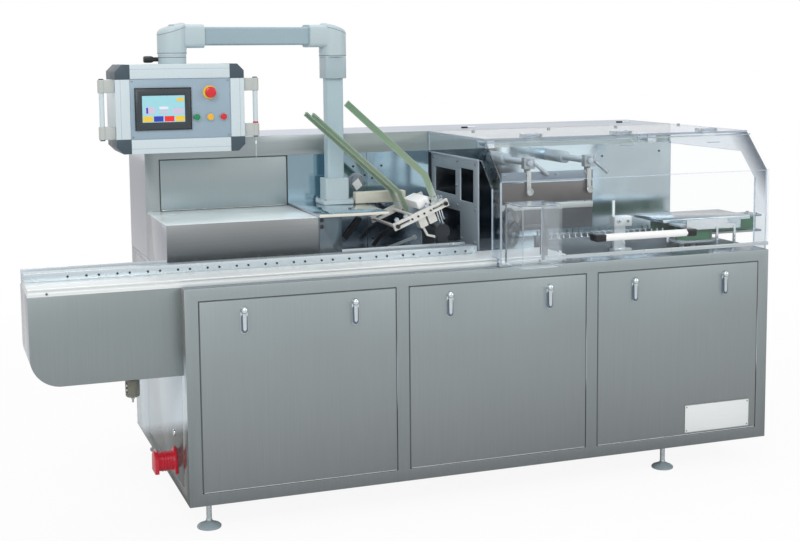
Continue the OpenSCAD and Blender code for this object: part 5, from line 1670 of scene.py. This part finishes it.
def hood_bolts():
    """Bolts on the hood's top sheet, and two spring clips on the back cabinet."""
    hood_top, cabinet_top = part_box("hood_top")[1].z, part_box("back_cabinet")[1].z

    def on_level(x, y, level):
        return Vector((spot(x, 0, 0).x, spot(0, y, 0).y, level))

    spots = ((1303, 600), (1644, 606), (1958, 606), (2270, 620))
    screws("hood_top_bolts", [(on_level(x, y, hood_top), UP) for x, y in spots], 14, 6)
    loop = [(-10, -6, 4), (10, -7, 5), (30, -5, 5), (34, 0, 5), (30, 5, 5), (10, 7, 5), (-10, 6, 4)]
    shape = Shape()
    for x, y in ((1386, 839), (2161, 900)):
        foot = on_level(x, y, cabinet_top)
        shape.block(foot + Vector((-34, -8, 0)) * MM, foot + Vector((-8, 8, 7)) * MM,
                    KNOB_BLACK, 2.0)
        shape.wire([foot + Vector(step) * MM for step in loop], 1.8, FINISHES["latch_chrome"])
    shape.piece("cabinet_top_clips", "machine", "latch_chrome")


lid_fittings()
hood_bolts()


# Studio

def pale_floor():
    """Floor that looks white, and takes a faint shadow close to the machine."""
    mesh = bpy.data.meshes.new("studio_floor")
    mesh.from_pydata([(-30, -30, 0), (30, -30, 0), (30, 40, 0), (-30, 40, 0)], [], [(0, 1, 2, 3)])
    floor = bpy.data.objects.new("studio_floor", mesh)
    bpy.context.scene.collection.objects.link(floor)
    finish = Finish("Studio floor", (0.9, 0.9, 0.9, 1.0), 0.7)
    finish.marked(0.5, 0.03)
    mesh.materials.append(finish.done())
    path = finish.add("ShaderNodeLightPath")
    seen = finish.add("ShaderNodeMath", operation="MAXIMUM")
    finish.link(path.outputs["Is Camera Ray"], seen.inputs[0])
    finish.link(path.outputs["Is Transmission Ray"], seen.inputs[1])
    place = finish.add("ShaderNodeTexCoord")
    away = finish.add("ShaderNodeVectorMath", operation="LENGTH")
    finish.link(place.outputs["Object"], away.inputs[0])
    fade = finish.add("ShaderNodeMapRange", {"From Min": 2.0, "From Max": 4.5,
                                             "To Min": 0.92, "To Max": 1.0})
    finish.link(away.outputs["Value"], fade.inputs["Value"])
    share = finish.add("ShaderNodeMath", operation="MULTIPLY")
    finish.link(seen.outputs["Value"], share.inputs[0])
    finish.link(fade.outputs["Result"], share.inputs[1])
    glow = finish.add("ShaderNodeEmission")
    finish.give_way(share.outputs["Value"], glow.outputs["Emission"])


def white_surround():
    """World that is white where it is seen or mirrored, and dimmer as light."""
    world = bpy.data.worlds.new("Studio")
    bpy.context.scene.world = world
    world.use_nodes = True
    tree = world.node_tree
    path = new_node(tree, "ShaderNodeLightPath")
    seen = path.outputs["Is Camera Ray"]
    for ray in ("Is Glossy Ray", "Is Transmission Ray"):
        either = new_node(tree, "ShaderNodeMath", operation="MAXIMUM")
        tree.links.new(seen, either.inputs[0])
        tree.links.new(path.outputs[ray], either.inputs[1])
        seen = either.outputs["Value"]
    level = new_node(tree, "ShaderNodeMapRange", {"To Min": 0.6, "To Max": 1.0})
    tree.links.new(seen, level.inputs["Value"])
    background = tree.nodes["Background"]
    tree.links.new(level.outputs["Result"], background.inputs["Strength"])
    background.inputs["Color"].default_value = (1, 1, 1, 1)


def soft_lamp(name, place, aim, size, power):
    """Rectangular lamp at a place, turned towards an aim."""
    data = bpy.data.lights.new(name, "AREA")
    data.shape = "RECTANGLE"
    data.size, data.size_y = size
    data.energy = power
    lamp = bpy.data.objects.new(name, data)
    lamp.location = place
    lamp.rotation_euler = (Vector(aim) - Vector(place)).to_track_quat("-Z", "Y").to_euler()
    bpy.context.scene.collection.objects.link(lamp)


def photo_camera():
    """Camera at the photograph's angle, from its focal length and middle in pixels."""
    wide, tall, sensor = 800, 541, 36.0
    focal, middle = 1329.42, 200.0
    yaw, pitch, roll = (math.radians(a) for a in (20.0247, 6.3169, -0.5236))
    ahead = Vector((math.sin(yaw) * math.cos(pitch), math.cos(yaw) * math.cos(pitch),
                    -math.sin(pitch)))
    level = Vector((math.cos(yaw), -math.sin(yaw), 0))
    upward = level.cross(ahead)
    right = level * math.cos(roll) + upward * math.sin(roll)
    top = upward * math.cos(roll) - level * math.sin(roll)
    data = bpy.data.cameras.new("photo_camera")
    data.sensor_width = sensor
    data.lens = sensor * focal / wide
    data.shift_y = (middle - tall / 2) / wide
    data.clip_end = 100.0
    camera = bpy.data.objects.new("photo_camera", data)
    turn = Matrix((right, top, -ahead)).transposed().to_4x4()
    camera.matrix_world = Matrix.Translation(spot(-815.57, -4341.90, 1626.63)) @ turn
    bpy.context.scene.collection.objects.link(camera)
    bpy.context.scene.camera = camera


pale_floor()
white_surround()
for lamp_settings in (("key_lamp", (-3.0, -4.5, 4.2), (0, 0, 0.9), (3.0, 2.0), 120),
                      ("fill_lamp", (3.6, -3.6, 3.0), (0, 0, 0.9), (2.5, 2.0), 40),
                      ("top_lamp", (0.0, 0.4, 5.0), (0, 0.2, 1.0), (4.0, 2.5), 60)):
    soft_lamp(*lamp_settings)
photo_camera()
bpy.context.scene.view_settings.view_transform = "Standard"
